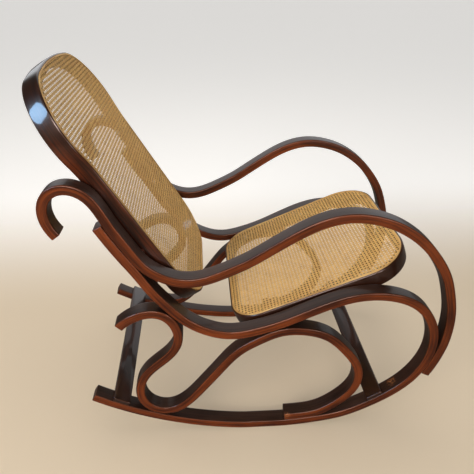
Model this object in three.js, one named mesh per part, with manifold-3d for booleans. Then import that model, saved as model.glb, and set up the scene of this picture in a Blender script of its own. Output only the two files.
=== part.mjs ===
// Bentwood rocking chair with a caned seat and back, in millimetres.
// X runs to the sitter's front, Y to the sitter's left and Z up. The origin is on the
// floor, under the middle of the chair. Each side is three bent strips bolted together:
// an arm, a long loop that is seat rail and rocker in one, and an S-shaped brace.

import * as THREE from "three";
import { mergeVertices } from "three/addons/utils/BufferGeometryUtils.js";
import Module from "manifold-3d";

const wasm = await Module();
wasm.setup();

// Side frames
const frame_length = 1000; // arm's rear shoulder to the front of the arm
const frame_height = 776; // floor to the top of the arm's shoulder
const frame_spacing = 510; // middle of one frame to the middle of the other
const frame_splay_degrees = 1.1; // how far each frame turns outwards to the front
const strip_width = 42;
const strip_thickness = 24;
const strip_easing = 4; // rounding of a strip's long edges
const touch_gap = 0.3; // between pieces that lie on each other
const cut_overrun = 8; // how far a cut runs out of the wood

// Rocker, measured from the point where it stands
const rocker_radius = 900; // to the underside
const rocker_front_run = 203; // forward end of the true arc
const rocker_tail_run = 476; // rear tip
const rocker_foot_front = 35; // ends of the flat that the chair stands on
const rocker_foot_back = 60;
const rocker_front_steps = 5;
const rocker_tail_steps = 12;

// How finely a bent line is divided
const turn_per_step_degrees = 11;
const longest_step = 48;
const shortest_step = 7;
const samples_per_span = 24; // looked at between two anchors

// Joints of the brace with the loop: how tightly the brace bends there
const shoulder_bend_radius = 50;
const shoulder_bend_reach = 25;
const crown_bend_radius = 110;
const crown_bend_reach = 40;
const heel_bend_radius = 65;
const heel_bend_reach = 30;

// Screws
const screw_radius = 3;
const screw_head_radius = 6;
const screw_head_height = 3;
const screw_sink = 4; // depth of a sunk head's seat
const screw_tip_cover = 6; // wood left over a screw's tip
const screw_fit = 0.3;
const screw_sides = 8;
const screw_head_side_share = 0.6; // of the head's height, before its dome starts
const screw_dome_share = 0.6; // of the head's radius, flat on top of its dome

// Stretchers, the flat boards across the rockers
const stretcher_width = 48;
const stretcher_thickness = 12;
const stretcher_easing = 1.5;
const stretcher_let_in = 1; // depth of their seat in the rocker
const stretcher_end_inset = 2; // from the frames' outer faces
const stretcher_corner_radius = 5;

// Hoops of seat and back, both bent from one section of wood
const hoop_depth = 43;
const hoop_thickness = 20;
const hoop_easing = 3;
const hoop_rim_width = 5; // wood outside the spline
const spline_width = 4.5;
const spline_depth = 6;
const spline_rise = 1.4; // how far the spline stands above the rim
const spline_easing = 1.2;
const cane_thickness = 3;
const cane_border = 10; // whole cane inside the spline
const cane_bar_share = 0.3; // of the sheet, between its openings
const corner_step_degrees = 10;

// Seat
const seat_length = 497; // along its slope
const seat_behind_rear_screw = 73; // along its slope
const seat_rise = 17; // top of the hoop over the line of its screws
const seat_rear_room = 3; // between a rail and the hoop's side, at the seat's rear end
const seat_front_room = 0.5;
const seat_rear_corner_radius = 85;
const seat_front_corner_radius = 112;
const seat_openings = { along: 8, across: 8 };

// Back
const back_upper_room = 2.7; // between an arm and the hoop at the upper screws
const back_lower_room = 4.5;
const back_above_upper_screw = 274;
const back_below_lower_screw = 226;
const back_setback = 38; // front of the hoop to the line of its screws
const back_waist_over_screw = 48; // from the upper screws up to where the sides open
const back_flare_degrees = 17; // how far each side opens there
const back_waist_radius = 180;
const back_crown_rise = 42; // the middle of the top over its shoulders
const back_crown_straight = 8; // between the bend of the crown and a shoulder's
const back_foot_straight = 210; // between the round corners
const back_openings = { along: 12, across: 8 };
const spacer_radius = 9;
const spacer_let_in = 1; // depth of the spacer's seat in the hoop

// Outlines of the strips' middle lines in the side view, as shares of the frame's length
// and height, from the point where the rocker stands.
const loop_leg_shares = [[-0.396, 0.866], [-0.373, 0.812], [-0.345, 0.75]];
const loop_lower_back_screw_shares = [-0.332, 0.73]; // opposite the screw in the arm
const loop_leg_end_shares = [-0.322, 0.706];
const loop_sweep_shares = [[-0.303, 0.66], [-0.28, 0.615]];
const loop_shoulder_joint_shares = [-0.238, 0.548];
const loop_dip_shares = [
  [-0.208, 0.508], [-0.17, 0.477], [-0.132, 0.457], [-0.098, 0.45], [-0.06, 0.455],
];
const loop_rear_seat_screw_shares = [-0.02, 0.469];
const loop_crown_joint_shares = [0.008, 0.479];
const loop_rail_shares = [[0.07, 0.513], [0.12, 0.543]];
const loop_front_seat_screw_shares = [0.165, 0.567];
const loop_front_shares = [
  [0.21, 0.584], [0.26, 0.59], [0.31, 0.582], [0.36, 0.558], [0.398, 0.518],
  [0.425, 0.464], [0.438, 0.402], [0.439, 0.345], [0.43, 0.291], [0.41, 0.235],
  [0.378, 0.181],
];
const loop_front_stretcher_shares = [0.317, 0.1175];
const loop_front_foot_shares = [[0.28, 0.0895], [0.243, 0.064]];
const arm_scroll_shares = [
  [-0.488, 0.84], [-0.5, 0.869], [-0.506, 0.902], [-0.505, 0.933], [-0.496, 0.961],
  [-0.478, 0.981], [-0.453, 0.986], [-0.426, 0.977],
];
const arm_upper_back_screw_shares = [-0.405, 0.955];
const arm_neck_shares = [[-0.388, 0.919]];
const arm_rest_shares = [
  [-0.275, 0.697], [-0.248, 0.677], [-0.22, 0.666], [-0.195, 0.664], [-0.168, 0.669],
  [-0.142, 0.679], [-0.105, 0.7], [-0.06, 0.727], [-0.015, 0.764], [0.04, 0.809],
  [0.08, 0.839], [0.12, 0.861], [0.155, 0.872], [0.19, 0.875], [0.23, 0.867],
  [0.277, 0.849], [0.31, 0.826], [0.344, 0.796], [0.374, 0.76], [0.4, 0.719],
  [0.42, 0.683], [0.438, 0.639], [0.452, 0.586], [0.465, 0.528], [0.471, 0.477],
  [0.472, 0.419], [0.47, 0.367],
];
const arm_front_joint_shares = [[0.437, 0.325], [0.415, 0.25]]; // its ends on the loop
const brace_tail_shares = [[-0.382, 0.5], [-0.36, 0.523], [-0.335, 0.539], [-0.305, 0.549]];
const brace_neck_shares = [
  [-0.234, 0.451], [-0.241, 0.415], [-0.257, 0.379], [-0.28, 0.349], [-0.303, 0.322],
  [-0.324, 0.293], [-0.34, 0.258], [-0.348, 0.219], [-0.348, 0.187], [-0.34, 0.159],
];
const brace_diagonal_shares = [
  [-0.232, 0.137], [-0.207, 0.169], [-0.18, 0.213], [-0.152, 0.26], [-0.12, 0.316],
  [-0.088, 0.366], [-0.06, 0.397],
];
const brace_lobe_shares = [
  [0.09, 0.454], [0.12, 0.446], [0.146, 0.432], [0.172, 0.409], [0.196, 0.375],
  [0.221, 0.335], [0.239, 0.299], [0.249, 0.26], [0.25, 0.216], [0.241, 0.177],
  [0.221, 0.138], [0.195, 0.107], [0.166, 0.078],
];
const brace_heel_joint_share = -0.302; // along the rocker
const brace_foot_shares = [0.136, 0.053]; // both ends of its rest on the rocker
const rear_stretcher_share = -0.396; // along the rocker

// Colours and finishes
const wood = { color: 0x5f2a17, roughness: 0.3, metalness: 0 };
const dark_wood = { color: 0x3b2019, roughness: 0.35, metalness: 0 };
const cane = { color: 0xcf9f56, roughness: 0.6, metalness: 0 };
const reed = { color: 0xdcb46c, roughness: 0.6, metalness: 0 };
const steel = { color: 0x8d8a84, roughness: 0.4, metalness: 1 };

const radians = THREE.MathUtils.degToRad;
const frame_splay = radians(frame_splay_degrees);
const turn_per_step = radians(turn_per_step_degrees);
const corner_step = radians(corner_step_degrees);
const back_flare = radians(back_flare_degrees);
const strip_pitch = strip_thickness + touch_gap; // middle to middle of two strips that touch

// A geometry as a solid, and a solid as a geometry with flat faces.
function solidOf(geometry) {
  const bare = geometry.clone();
  bare.deleteAttribute("normal");
  bare.deleteAttribute("uv");
  const merged = mergeVertices(bare);
  return new wasm.Manifold(
    new wasm.Mesh({
      numProp: 3,
      vertProperties: merged.attributes.position.array,
      triVerts: new Uint32Array(merged.index.array),
    }),
  );
}

function geometryOf(solid) {
  const mesh = solid.getMesh();
  const indexed = new THREE.BufferGeometry();
  indexed.setAttribute("position", new THREE.BufferAttribute(mesh.vertProperties, mesh.numProp));
  indexed.setIndex(new THREE.BufferAttribute(mesh.triVerts, 1));
  const flat = indexed.toNonIndexed();
  flat.computeVertexNormals();
  return flat;
}

function pieceOf(name, geometry, finish, parent) {
  const piece = new THREE.Mesh(geometry, new THREE.MeshStandardMaterial(finish));
  piece.name = name;
  parent.add(piece);
  return piece;
}

// Cuts are listed while the pieces are placed and made once they all are.
const cuts = [];

function cutLater(piece, tool_geometry, tool_place) {
  cuts.push({ piece, tool_geometry, tool_place });
}

function makeCuts(chair) {
  chair.updateMatrixWorld(true);
  for (const piece of new Set(cuts.map((cut) => cut.piece))) {
    const to_piece = piece.matrixWorld.clone().invert();
    let solid = solidOf(piece.geometry);
    for (const cut of cuts.filter((entry) => entry.piece === piece)) {
      const place = to_piece.clone().multiply(cut.tool_place.matrixWorld);
      solid = solid.subtract(solidOf(cut.tool_geometry.clone().applyMatrix4(place)));
    }
    piece.geometry = geometryOf(solid);
  }
}

// A line of stations in the side view, x forwards and y up. Its mitres carry an offset
// from one step to the next at the same distance, so that two strips lie face to face.
class BentLine {
  constructor(points) {
    this.points = points;
    const headings = points.slice(1).map((p, i) => p.clone().sub(points[i]).normalize());
    const sides = headings.map((h) => new THREE.Vector2(-h.y, h.x));
    this.mitres = points.map((_, i) => {
      const before = sides[Math.max(i - 1, 0)];
      const after = sides[Math.min(i, sides.length - 1)];
      return before.clone().add(after).divideScalar(1 + before.dot(after));
    });
  }

  // The point beside a station, to the left of the line's heading where out is positive.
  beside(index, out) {
    return this.points[index].clone().addScaledVector(this.mitres[index], out);
  }

  side(index) {
    return this.mitres[index].clone().normalize();
  }

  nearest(target) {
    const reach = this.points.map((p) => p.distanceTo(target));
    return reach.indexOf(Math.min(...reach));
  }
}

function placed([along_share, up_share]) {
  return new THREE.Vector2(along_share * frame_length, up_share * frame_height);
}

function kept(point) {
  point.kept = true;
  return point;
}

// Stations along a smooth curve through the anchors: closer where it bends more. Kept
// anchors are stations themselves, and nothing is added between two of them.
function stationsThrough(anchors) {
  const curve = new THREE.CatmullRomCurve3(
    anchors.map((a) => new THREE.Vector3(a.x, a.y, 0)),
    false,
    "centripetal",
  );
  const spans = anchors.length - 1;
  const stations = [anchors[0]];
  let last_heading = curve.getTangent(0);
  for (let span = 0; span < spans; span++) {
    const end = anchors[span + 1];
    const is_end_kept = end.kept || span === spans - 1;
    for (let sample = 1; sample <= samples_per_span; sample++) {
      const last = stations[stations.length - 1];
      if (anchors[span].kept && end.kept) break;
      const u = (span + sample / samples_per_span) / spans;
      const spot = curve.getPoint(u);
      const here = new THREE.Vector2(spot.x, spot.y);
      const heading = curve.getTangent(u);
      const turned = heading.angleTo(last_heading) >= turn_per_step;
      const far = here.distanceTo(last) >= longest_step;
      const crowds_end = is_end_kept && here.distanceTo(end) < shortest_step;
      if ((turned || far) && !crowds_end && here.distanceTo(last) >= shortest_step) {
        stations.push(here);
        last_heading = heading;
      }
    }
    if (is_end_kept) {
      stations.push(end);
      last_heading = curve.getTangent((span + 1) / spans);
    }
  }
  return stations;
}

// Stations of the rocker's true arc to one end, from the flat that the chair stands on.
// The flat lies under the middle of the chair's weight, so that it rests as it is drawn.
function rockerArc(foot_end, run, steps, heading) {
  const middle_radius = rocker_radius - strip_thickness / 2;
  const foot_angle = Math.asin(foot_end / middle_radius);
  const end_angle = Math.asin(run / middle_radius);
  const stations = [];
  for (let step = 0; step <= steps; step++) {
    const angle = foot_angle + ((end_angle - foot_angle) * step) / steps;
    const along = heading * middle_radius * Math.sin(angle);
    const rise = middle_radius * (Math.cos(foot_angle) - Math.cos(angle));
    stations.push(kept(new THREE.Vector2(along, strip_thickness / 2 + rise)));
  }
  return stations;
}

function rockerStations() {
  const front = rockerArc(rocker_foot_front, rocker_front_run, rocker_front_steps, 1);
  const tail = rockerArc(rocker_foot_back, rocker_tail_run, rocker_tail_steps, -1);
  return [...front.reverse(), ...tail];
}

// The loop: rear leg, seat rail, front bow and rocker, in one strip.
const loop = new BentLine(
  stationsThrough([
    ...loop_leg_shares.map((share) => kept(placed(share))),
    kept(placed(loop_lower_back_screw_shares)),
    kept(placed(loop_leg_end_shares)),
    ...loop_sweep_shares.map(placed),
    kept(placed(loop_shoulder_joint_shares)),
    ...loop_dip_shares.map(placed),
    kept(placed(loop_rear_seat_screw_shares)),
    kept(placed(loop_crown_joint_shares)),
    ...loop_rail_shares.map(placed),
    kept(placed(loop_front_seat_screw_shares)),
    ...loop_front_shares.map(placed),
    kept(placed(loop_front_stretcher_shares)),
    ...loop_front_foot_shares.map(placed),
    ...rockerStations(),
  ]),
);

function loopStation(shares) {
  return loop.nearest(placed(shares));
}

const rocker_start = loop.points.length - rocker_front_steps - rocker_tail_steps - 2;

// The station of the rocker that is nearest to a place along the floor.
function rockerStation(along_share) {
  const along = along_share * frame_length;
  let best = rocker_start;
  for (let i = rocker_start; i < loop.points.length; i++)
    if (Math.abs(loop.points[i].x - along) < Math.abs(loop.points[best].x - along)) best = i;
  return best;
}

// The last station of the rocker ahead of a place along the floor, and the point beside
// the rocker at that place.
function stationAhead(along_share) {
  const along = along_share * frame_length;
  let last = rocker_start;
  while (loop.points[last + 1].x > along) last++;
  return last;
}

function besideRocker(along_share, out) {
  const start = loop.beside(stationAhead(along_share), out);
  const end = loop.beside(stationAhead(along_share) + 1, out);
  const share = (along_share * frame_length - start.x) / (end.x - start.x);
  return start.lerp(end, share);
}

const shoulder_joint = loopStation(loop_shoulder_joint_shares);
const crown_joint = loopStation(loop_crown_joint_shares);
const heel_joint = rockerStation(brace_heel_joint_share);
const foot_joint_front = rockerStation(brace_foot_shares[0]);
const foot_joint_end = stationAhead(brace_foot_shares[1]);
const leg_joint_end = loopStation(loop_leg_end_shares);
const arm_joint_top = loopStation(arm_front_joint_shares[0]);
const arm_joint_end = loopStation(arm_front_joint_shares[1]);

// A strip that lies along the loop from one station to another.
function alongLoop(from, to, out) {
  const run = [];
  for (let i = from; i <= to; i++) run.push(kept(loop.beside(i, out)));
  return run;
}

// Three anchors where a strip touches the loop and bends away from it to both ends.
function touchingLoop(index, out, bend_radius, reach) {
  const side = loop.side(index).multiplyScalar(Math.sign(out));
  const forwards = new THREE.Vector2(side.y, -side.x).multiplyScalar(Math.sign(out));
  const away = reach ** 2 / (2 * bend_radius);
  const touch = loop.beside(index, out);
  const before = touch.clone().addScaledVector(forwards, -reach).addScaledVector(side, away);
  const after = touch.clone().addScaledVector(forwards, reach).addScaledVector(side, away);
  return [before, kept(touch), after];
}

// The arm: scroll, fall along the rear leg, arm rest, and down the front of the loop.
const arm = new BentLine(
  stationsThrough([
    ...arm_scroll_shares.map(placed),
    kept(placed(arm_upper_back_screw_shares)),
    ...arm_neck_shares.map(placed),
    ...alongLoop(0, leg_joint_end, strip_pitch),
    ...arm_rest_shares.map(placed),
    ...alongLoop(arm_joint_top, arm_joint_end, strip_pitch),
  ]),
);

// The brace: an S inside the loop that touches it at its shoulder, crown, heel and foot.
const brace = new BentLine(
  stationsThrough([
    ...brace_tail_shares.map(placed),
    ...touchingLoop(shoulder_joint, -strip_pitch, shoulder_bend_radius, shoulder_bend_reach),
    ...brace_neck_shares.map(placed),
    ...touchingLoop(heel_joint, -strip_pitch, heel_bend_radius, heel_bend_reach).reverse(),
    ...brace_diagonal_shares.map(placed),
    ...touchingLoop(crown_joint, -strip_pitch, crown_bend_radius, crown_bend_reach),
    ...brace_lobe_shares.map(placed),
    ...alongLoop(foot_joint_front, foot_joint_end, -strip_pitch),
    kept(besideRocker(brace_foot_shares[1], -strip_pitch)),
  ]),
);

// A bent strip: the outline of its side view, extruded across its width.
function stripGeometry(line) {
  const half = strip_thickness / 2;
  const outline = new THREE.Shape([
    ...line.points.map((_, i) => line.beside(i, -half)),
    ...line.points.map((_, i) => line.beside(i, half)).reverse(),
  ]);
  return eased(outline, strip_width, strip_easing)
    .rotateX(Math.PI / 2)
    .translate(0, strip_width / 2, 0);
}

// An outline extruded to a depth, with its edges eased inside its own size.
function eased(outline, depth, easing) {
  return new THREE.ExtrudeGeometry(outline, {
    depth: depth - 2 * easing,
    bevelThickness: easing,
    bevelSize: easing,
    bevelOffset: -easing,
    bevelSegments: 1,
    curveSegments: 1,
  }).translate(0, 0, easing);
}

// A closed outline of rounded corners, moved inwards by an inset. It runs anticlockwise,
// and at a waist, where a corner turns the other way, the inset widens its bend.
function roundedLoop(corners, radii, inset) {
  const points = [];
  corners.forEach((corner, i) => {
    const to_last = corners[(i + corners.length - 1) % corners.length].clone().sub(corner);
    const to_next = corners[(i + 1) % corners.length].clone().sub(corner);
    to_last.normalize();
    to_next.normalize();
    const half_angle = Math.acos(to_last.dot(to_next)) / 2;
    const inwards = to_last.clone().add(to_next).normalize();
    const bend = Math.sign(to_next.cross(to_last));
    const radius = radii[i] - bend * inset;
    const centre = corner.clone().addScaledVector(inwards, radii[i] / Math.sin(half_angle));
    const turn = Math.PI - 2 * half_angle;
    const steps = Math.max(Math.round(turn / corner_step), 1);
    for (let step = 0; step <= steps; step++) {
      const angle = bend * turn * (step / steps - 1 / 2);
      const spoke = inwards.clone().negate().rotateAround(new THREE.Vector2(), angle);
      points.push(centre.clone().addScaledVector(spoke, radius));
    }
  });
  return points;
}

function ring(corners, radii, outer_inset, inner_inset) {
  const shape = new THREE.Shape(roundedLoop(corners, radii, outer_inset));
  shape.holes.push(new THREE.Path(roundedLoop(corners, radii, inner_inset).reverse()));
  return shape;
}

function extruded(shape, depth) {
  return new THREE.ExtrudeGeometry(shape, { depth, bevelEnabled: false, curveSegments: 1 });
}

// Whether a point lies inside a closed outline: a ray from it crosses the outline an odd
// number of times.
function isInside(point, outline) {
  let inside = false;
  outline.forEach((end, i) => {
    const start = outline[(i + outline.length - 1) % outline.length];
    if (start.y > point.y === end.y > point.y) return;
    const share = (point.y - start.y) / (end.y - start.y);
    if (point.x < start.x + (end.x - start.x) * share) inside = !inside;
  });
  return inside;
}

// The openings of a caned sheet as a plain grid that follows the hoop's sides. Those that
// would run out over the border are left closed.
function openingsOf(openings, length, half_width_at, border_outline) {
  const at = (along_share, across_share) => {
    const along = length * along_share;
    return new THREE.Vector2(along, half_width_at(along) * (2 * across_share - 1));
  };
  const shapes = [];
  for (let i = 0; i < openings.along; i++) {
    for (let j = 0; j < openings.across; j++) {
      const start = (i + cane_bar_share / 2) / openings.along;
      const end = (i + 1 - cane_bar_share / 2) / openings.along;
      const low = (j + cane_bar_share / 2) / openings.across;
      const high = (j + 1 - cane_bar_share / 2) / openings.across;
      const cell = [at(start, low), at(start, high), at(end, high), at(end, low)];
      const is_clear = cell.every((point) => isInside(point, border_outline));
      if (is_clear) shapes.push(new THREE.Shape(cell));
    }
  }
  return shapes;
}

// A caned hoop, its spline and its cane in a group whose XY plane is the hoop's face.
// The wood lies behind that plane; the cane rests on the ledge inside the spline.
function canedHoop(name, corners, radii, openings, half_width_at, parent) {
  const spline_outer = hoop_rim_width;
  const spline_inner = spline_outer + spline_width;
  const groove_depth = spline_depth + touch_gap;
  const ledge_depth = cane_thickness + touch_gap;
  const groove = ring(corners, radii, spline_outer - touch_gap, spline_inner + touch_gap);
  const ledge = ring(corners, radii, spline_inner, hoop_thickness + cut_overrun);
  const body = eased(ring(corners, radii, 0, hoop_thickness), hoop_depth, hoop_easing);
  body.translate(0, 0, -hoop_depth);
  const groove_cut = extruded(groove, groove_depth + cut_overrun).translate(0, 0, -groove_depth);
  const ledge_cut = extruded(ledge, ledge_depth + cut_overrun).translate(0, 0, -ledge_depth);
  const cut_body = solidOf(body).subtract(solidOf(groove_cut)).subtract(solidOf(ledge_cut));
  const hoop = pieceOf(name + "_hoop", geometryOf(cut_body), dark_wood, parent);
  const spline_height = spline_depth + spline_rise;
  const spline_ring = ring(corners, radii, spline_outer, spline_inner);
  const spline = eased(spline_ring, spline_height, spline_easing);
  pieceOf(name + "_spline", spline.translate(0, 0, -spline_depth), reed, parent);
  const sheet_inset = spline_inner + touch_gap;
  const sheet = new THREE.Shape(roundedLoop(corners, radii, sheet_inset));
  const border_outline = roundedLoop(corners, radii, sheet_inset + cane_border);
  const length = Math.max(...corners.map((corner) => corner.x));
  const gaps = openingsOf(openings, length, half_width_at, border_outline);
  const gap_tool = extruded(gaps, cane_thickness + 2 * cut_overrun).translate(0, 0, -cut_overrun);
  const open_sheet = solidOf(extruded(sheet, cane_thickness)).subtract(solidOf(gap_tool));
  const sheet_geometry = geometryOf(open_sheet).translate(0, 0, -cane_thickness);
  pieceOf(name + "_cane", sheet_geometry, cane, parent);
  return hoop;
}

// A screw along its own Y, with its head's underside at zero. Grown, it is the cut for it.
function screwGeometry(length, grown) {
  const shank = screw_radius + grown;
  const head = screw_head_radius + grown;
  const top = grown > 0 ? cut_overrun : screw_head_height;
  const shoulder = grown > 0 ? cut_overrun : screw_head_height * screw_head_side_share;
  const dome = grown > 0 ? head : head * screw_dome_share;
  const profile = [
    new THREE.Vector2(0, -length - grown),
    new THREE.Vector2(shank, -length - grown),
    new THREE.Vector2(shank, -grown),
    new THREE.Vector2(head, -grown),
    new THREE.Vector2(head, shoulder),
    new THREE.Vector2(dome, top),
    new THREE.Vector2(0, top),
  ].filter((point, i, all) => i === 0 || point.distanceTo(all[i - 1]) > 0);
  return new THREE.LatheGeometry(profile, screw_sides);
}

// Drives a screw inwards from a surface point and cuts its hole in the named pieces.
function drive(name, surface, outwards, sink, length, through, parent) {
  const screw = pieceOf(name, screwGeometry(length, 0), steel, parent);
  screw.quaternion.setFromUnitVectors(new THREE.Vector3(0, 1, 0), outwards);
  screw.position.copy(surface).addScaledVector(outwards, -sink);
  for (const piece of through) cutLater(piece, screwGeometry(length, screw_fit), screw);
  return screw;
}

const chair = new THREE.Group();

function frameGroup(side) {
  const group = new THREE.Group();
  group.position.y = (side * frame_spacing) / 2;
  group.rotation.z = side * frame_splay;
  chair.add(group);
  return group;
}

// A screw through two strips that lie on each other, from the face that hides its head.
function driveThroughStrips(name, index, from_side, near_face, pieces, group) {
  const side = loop.side(index).multiplyScalar(from_side);
  const face = loop.beside(index, from_side * near_face);
  const outwards = new THREE.Vector3(side.x, 0, side.y);
  const depth = 2 * strip_thickness + touch_gap - screw_sink - screw_tip_cover;
  drive(name, new THREE.Vector3(face.x, 0, face.y), outwards, screw_sink, depth, pieces, group);
}

function sideFrame(name, side) {
  const group = frameGroup(side);
  const loop_piece = pieceOf(name + "_rail_and_rocker", stripGeometry(loop), wood, group);
  const arm_piece = pieceOf(name + "_arm", stripGeometry(arm), wood, group);
  const brace_piece = pieceOf(name + "_brace", stripGeometry(brace), wood, group);
  const near = strip_thickness / 2;
  const far = near + strip_pitch;
  const with_arm = [loop_piece, arm_piece];
  const with_brace = [loop_piece, brace_piece];
  const joints = [
    ["arm_rear_upper_screw", 1, -1, near, with_arm],
    ["arm_rear_lower_screw", 2, -1, near, with_arm],
    ["arm_front_upper_screw", arm_joint_top + 1, 1, far, with_arm],
    ["arm_front_lower_screw", arm_joint_end - 1, 1, far, with_arm],
    ["brace_shoulder_screw", shoulder_joint, -1, far, with_brace],
    ["brace_crown_screw", crown_joint, -1, far, with_brace],
    ["brace_heel_screw", heel_joint, 1, near, with_brace],
    ["brace_foot_screw", foot_joint_front + 1, 1, near, with_brace],
  ];
  for (const [joint, index, from_side, face, pieces] of joints)
    driveThroughStrips(name + "_" + joint, index, from_side, face, pieces, group);
  return { name, side, group, loop_piece, arm_piece };
}

const right = sideFrame("right", -1);
const left = sideFrame("left", 1);

// Half of the clear width between the frames, or of the width over them, at a place
// along the chair. The frames are splayed, so both grow to the front.
function halfWidthInside(along) {
  const face = frame_spacing / 2 + along * Math.tan(frame_splay);
  return face - strip_width / 2 / Math.cos(frame_splay);
}

function halfWidthOver(along) {
  return halfWidthInside(along) + strip_width / Math.cos(frame_splay);
}

// The seat lies on the line between its screws in the two rails, its face raised by
// seat_rise. Its sides close up with the rails towards the front.
const rear_seat_screw = loop.points[loopStation(loop_rear_seat_screw_shares)];
const front_seat_screw = loop.points[loopStation(loop_front_seat_screw_shares)];
const seat_heading = front_seat_screw.clone().sub(rear_seat_screw).normalize();
const seat_up = new THREE.Vector2(-seat_heading.y, seat_heading.x);
const seat_origin = rear_seat_screw
  .clone()
  .addScaledVector(seat_heading, -seat_behind_rear_screw)
  .addScaledVector(seat_up, seat_rise);

function seatRoom(along_slope) {
  return seat_rear_room + ((seat_front_room - seat_rear_room) * along_slope) / seat_length;
}

function seatHalfWidth(along_slope) {
  const along = seat_origin.x + along_slope * seat_heading.x;
  return halfWidthInside(along) - seatRoom(along_slope);
}

function facePlane(origin, heading, up) {
  const group = new THREE.Group();
  const forwards = new THREE.Vector3(heading.x, 0, heading.y);
  const outwards = new THREE.Vector3(up.x, 0, up.y);
  const across = new THREE.Vector3().crossVectors(outwards, forwards);
  const basis = new THREE.Matrix4().makeBasis(forwards, across, outwards);
  group.quaternion.setFromRotationMatrix(basis);
  group.position.set(origin.x, 0, origin.y);
  chair.add(group);
  return group;
}

const seat_group = facePlane(seat_origin, seat_heading, seat_up);
const seat_corners = [
  new THREE.Vector2(0, -seatHalfWidth(0)),
  new THREE.Vector2(seat_length, -seatHalfWidth(seat_length)),
  new THREE.Vector2(seat_length, seatHalfWidth(seat_length)),
  new THREE.Vector2(0, seatHalfWidth(0)),
];
const seat_radii = [
  seat_rear_corner_radius,
  seat_front_corner_radius,
  seat_front_corner_radius,
  seat_rear_corner_radius,
];
const seat_hoop = canedHoop(
  "seat",
  seat_corners,
  seat_radii,
  seat_openings,
  seatHalfWidth,
  seat_group,
);

// The back leans on the line between its screws in the two arms. Its heading runs down.
const upper_back_screw = arm.points[arm.nearest(placed(arm_upper_back_screw_shares))];
const lower_back_screw = loop.beside(loopStation(loop_lower_back_screw_shares), strip_pitch);
const back_heading = lower_back_screw.clone().sub(upper_back_screw).normalize();
const back_out = new THREE.Vector2(-back_heading.y, back_heading.x);
const back_origin = upper_back_screw
  .clone()
  .addScaledVector(back_heading, -back_above_upper_screw)
  .addScaledVector(back_out, back_setback);
const screw_span = upper_back_screw.distanceTo(lower_back_screw);
const back_length = back_above_upper_screw + screw_span + back_below_lower_screw;
const back_group = facePlane(back_origin, back_heading, back_out);
const upper_half_width = halfWidthInside(upper_back_screw.x) - back_upper_room;
const lower_half_width = halfWidthInside(lower_back_screw.x) - back_lower_room;

// The back's sides run straight past both screws and open above its waist. Its top rises
// from two shoulders to a crown.
const back_waist = back_above_upper_screw - back_waist_over_screw;

function backHalfWidth(along_slope) {
  const share = (along_slope - back_above_upper_screw) / screw_span;
  const straight = upper_half_width + (lower_half_width - upper_half_width) * share;
  return straight + Math.max(back_waist - along_slope, 0) * Math.tan(back_flare);
}

function backCorner(along_slope, side) {
  return new THREE.Vector2(along_slope, side * backHalfWidth(along_slope));
}

const back_corners = [
  new THREE.Vector2(0, 0),
  backCorner(back_crown_rise, -1),
  backCorner(back_waist, -1),
  backCorner(back_length, -1),
  backCorner(back_length, 1),
  backCorner(back_waist, 1),
  backCorner(back_crown_rise, 1),
];
// The round shoulders start where the bend of the waist ends, and the crown's bend takes
// nearly all that they leave of the top.
const waist_reach = back_waist_radius * Math.tan(back_flare / 2);
const shoulder_reach = (back_waist - back_crown_rise) / Math.cos(back_flare) - waist_reach;
const crown_slope = Math.atan(back_crown_rise / backHalfWidth(back_crown_rise));
const crown_side = backHalfWidth(back_crown_rise) / Math.cos(crown_slope);
const crown_reach = crown_side - shoulder_reach - back_crown_straight;
const back_crown_radius = crown_reach / Math.tan(crown_slope);
const shoulder_corner = Math.PI / 2 + crown_slope - back_flare;
const back_shoulder_radius = shoulder_reach * Math.tan(shoulder_corner / 2);
const back_foot_radius = backHalfWidth(back_length) - back_foot_straight / 2;
const back_radii = [
  back_crown_radius,
  back_shoulder_radius,
  back_waist_radius,
  back_foot_radius,
  back_foot_radius,
  back_waist_radius,
  back_shoulder_radius,
];
const back_hoop = canedHoop(
  "back",
  back_corners,
  back_radii,
  back_openings,
  backHalfWidth,
  back_group,
);

// Screws from inside the seat's hoop into the rails, below the cane.
function seatScrew(frame, name, spot) {
  const outwards = new THREE.Vector3(0, -frame.side, 0);
  const room = seatRoom(spot.clone().sub(seat_origin).dot(seat_heading));
  const face = strip_width / 2 + room + hoop_thickness;
  const surface = new THREE.Vector3(spot.x, -frame.side * face, spot.y);
  const sink = -touch_gap;
  const length = face + strip_width / 2 - screw_tip_cover;
  const pieces = [seat_hoop, frame.loop_piece];
  drive(frame.name + "_" + name, surface, outwards, sink, length, pieces, frame.group);
}

// The back stands clear of the arms by its spacers, and its screws run through them.
function backFixing(frame, name, spot, room) {
  const length = room + spacer_let_in - 2 * touch_gap;
  const middle = -frame.side * (strip_width / 2 + touch_gap + length / 2);
  const hole = screw_radius + screw_fit;
  const rim = [
    new THREE.Vector2(hole, -length / 2),
    new THREE.Vector2(spacer_radius, -length / 2),
    new THREE.Vector2(spacer_radius, length / 2),
    new THREE.Vector2(hole, length / 2),
    new THREE.Vector2(hole, -length / 2),
  ];
  const spacer_geometry = new THREE.LatheGeometry(rim, 2 * screw_sides);
  const label = frame.name + "_back_" + name;
  const spacer = pieceOf(label + "_spacer", spacer_geometry, dark_wood, frame.group);
  spacer.position.set(spot.x, middle, spot.y);
  const seat_radius = spacer_radius + touch_gap;
  const seat_reach = length + 2 * touch_gap;
  const seat_cut = new THREE.CylinderGeometry(seat_radius, seat_radius, seat_reach, 2 * screw_sides);
  cutLater(back_hoop, seat_cut, spacer);
  const outwards = new THREE.Vector3(0, -frame.side, 0);
  const face = strip_width / 2 + room + hoop_thickness;
  const surface = new THREE.Vector3(spot.x, -frame.side * face, spot.y);
  const screw_length = face + strip_width / 2 - screw_tip_cover;
  const pieces = [back_hoop, frame.arm_piece];
  drive(label + "_screw", surface, outwards, -2 * touch_gap, screw_length, pieces, frame.group);
}

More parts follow.
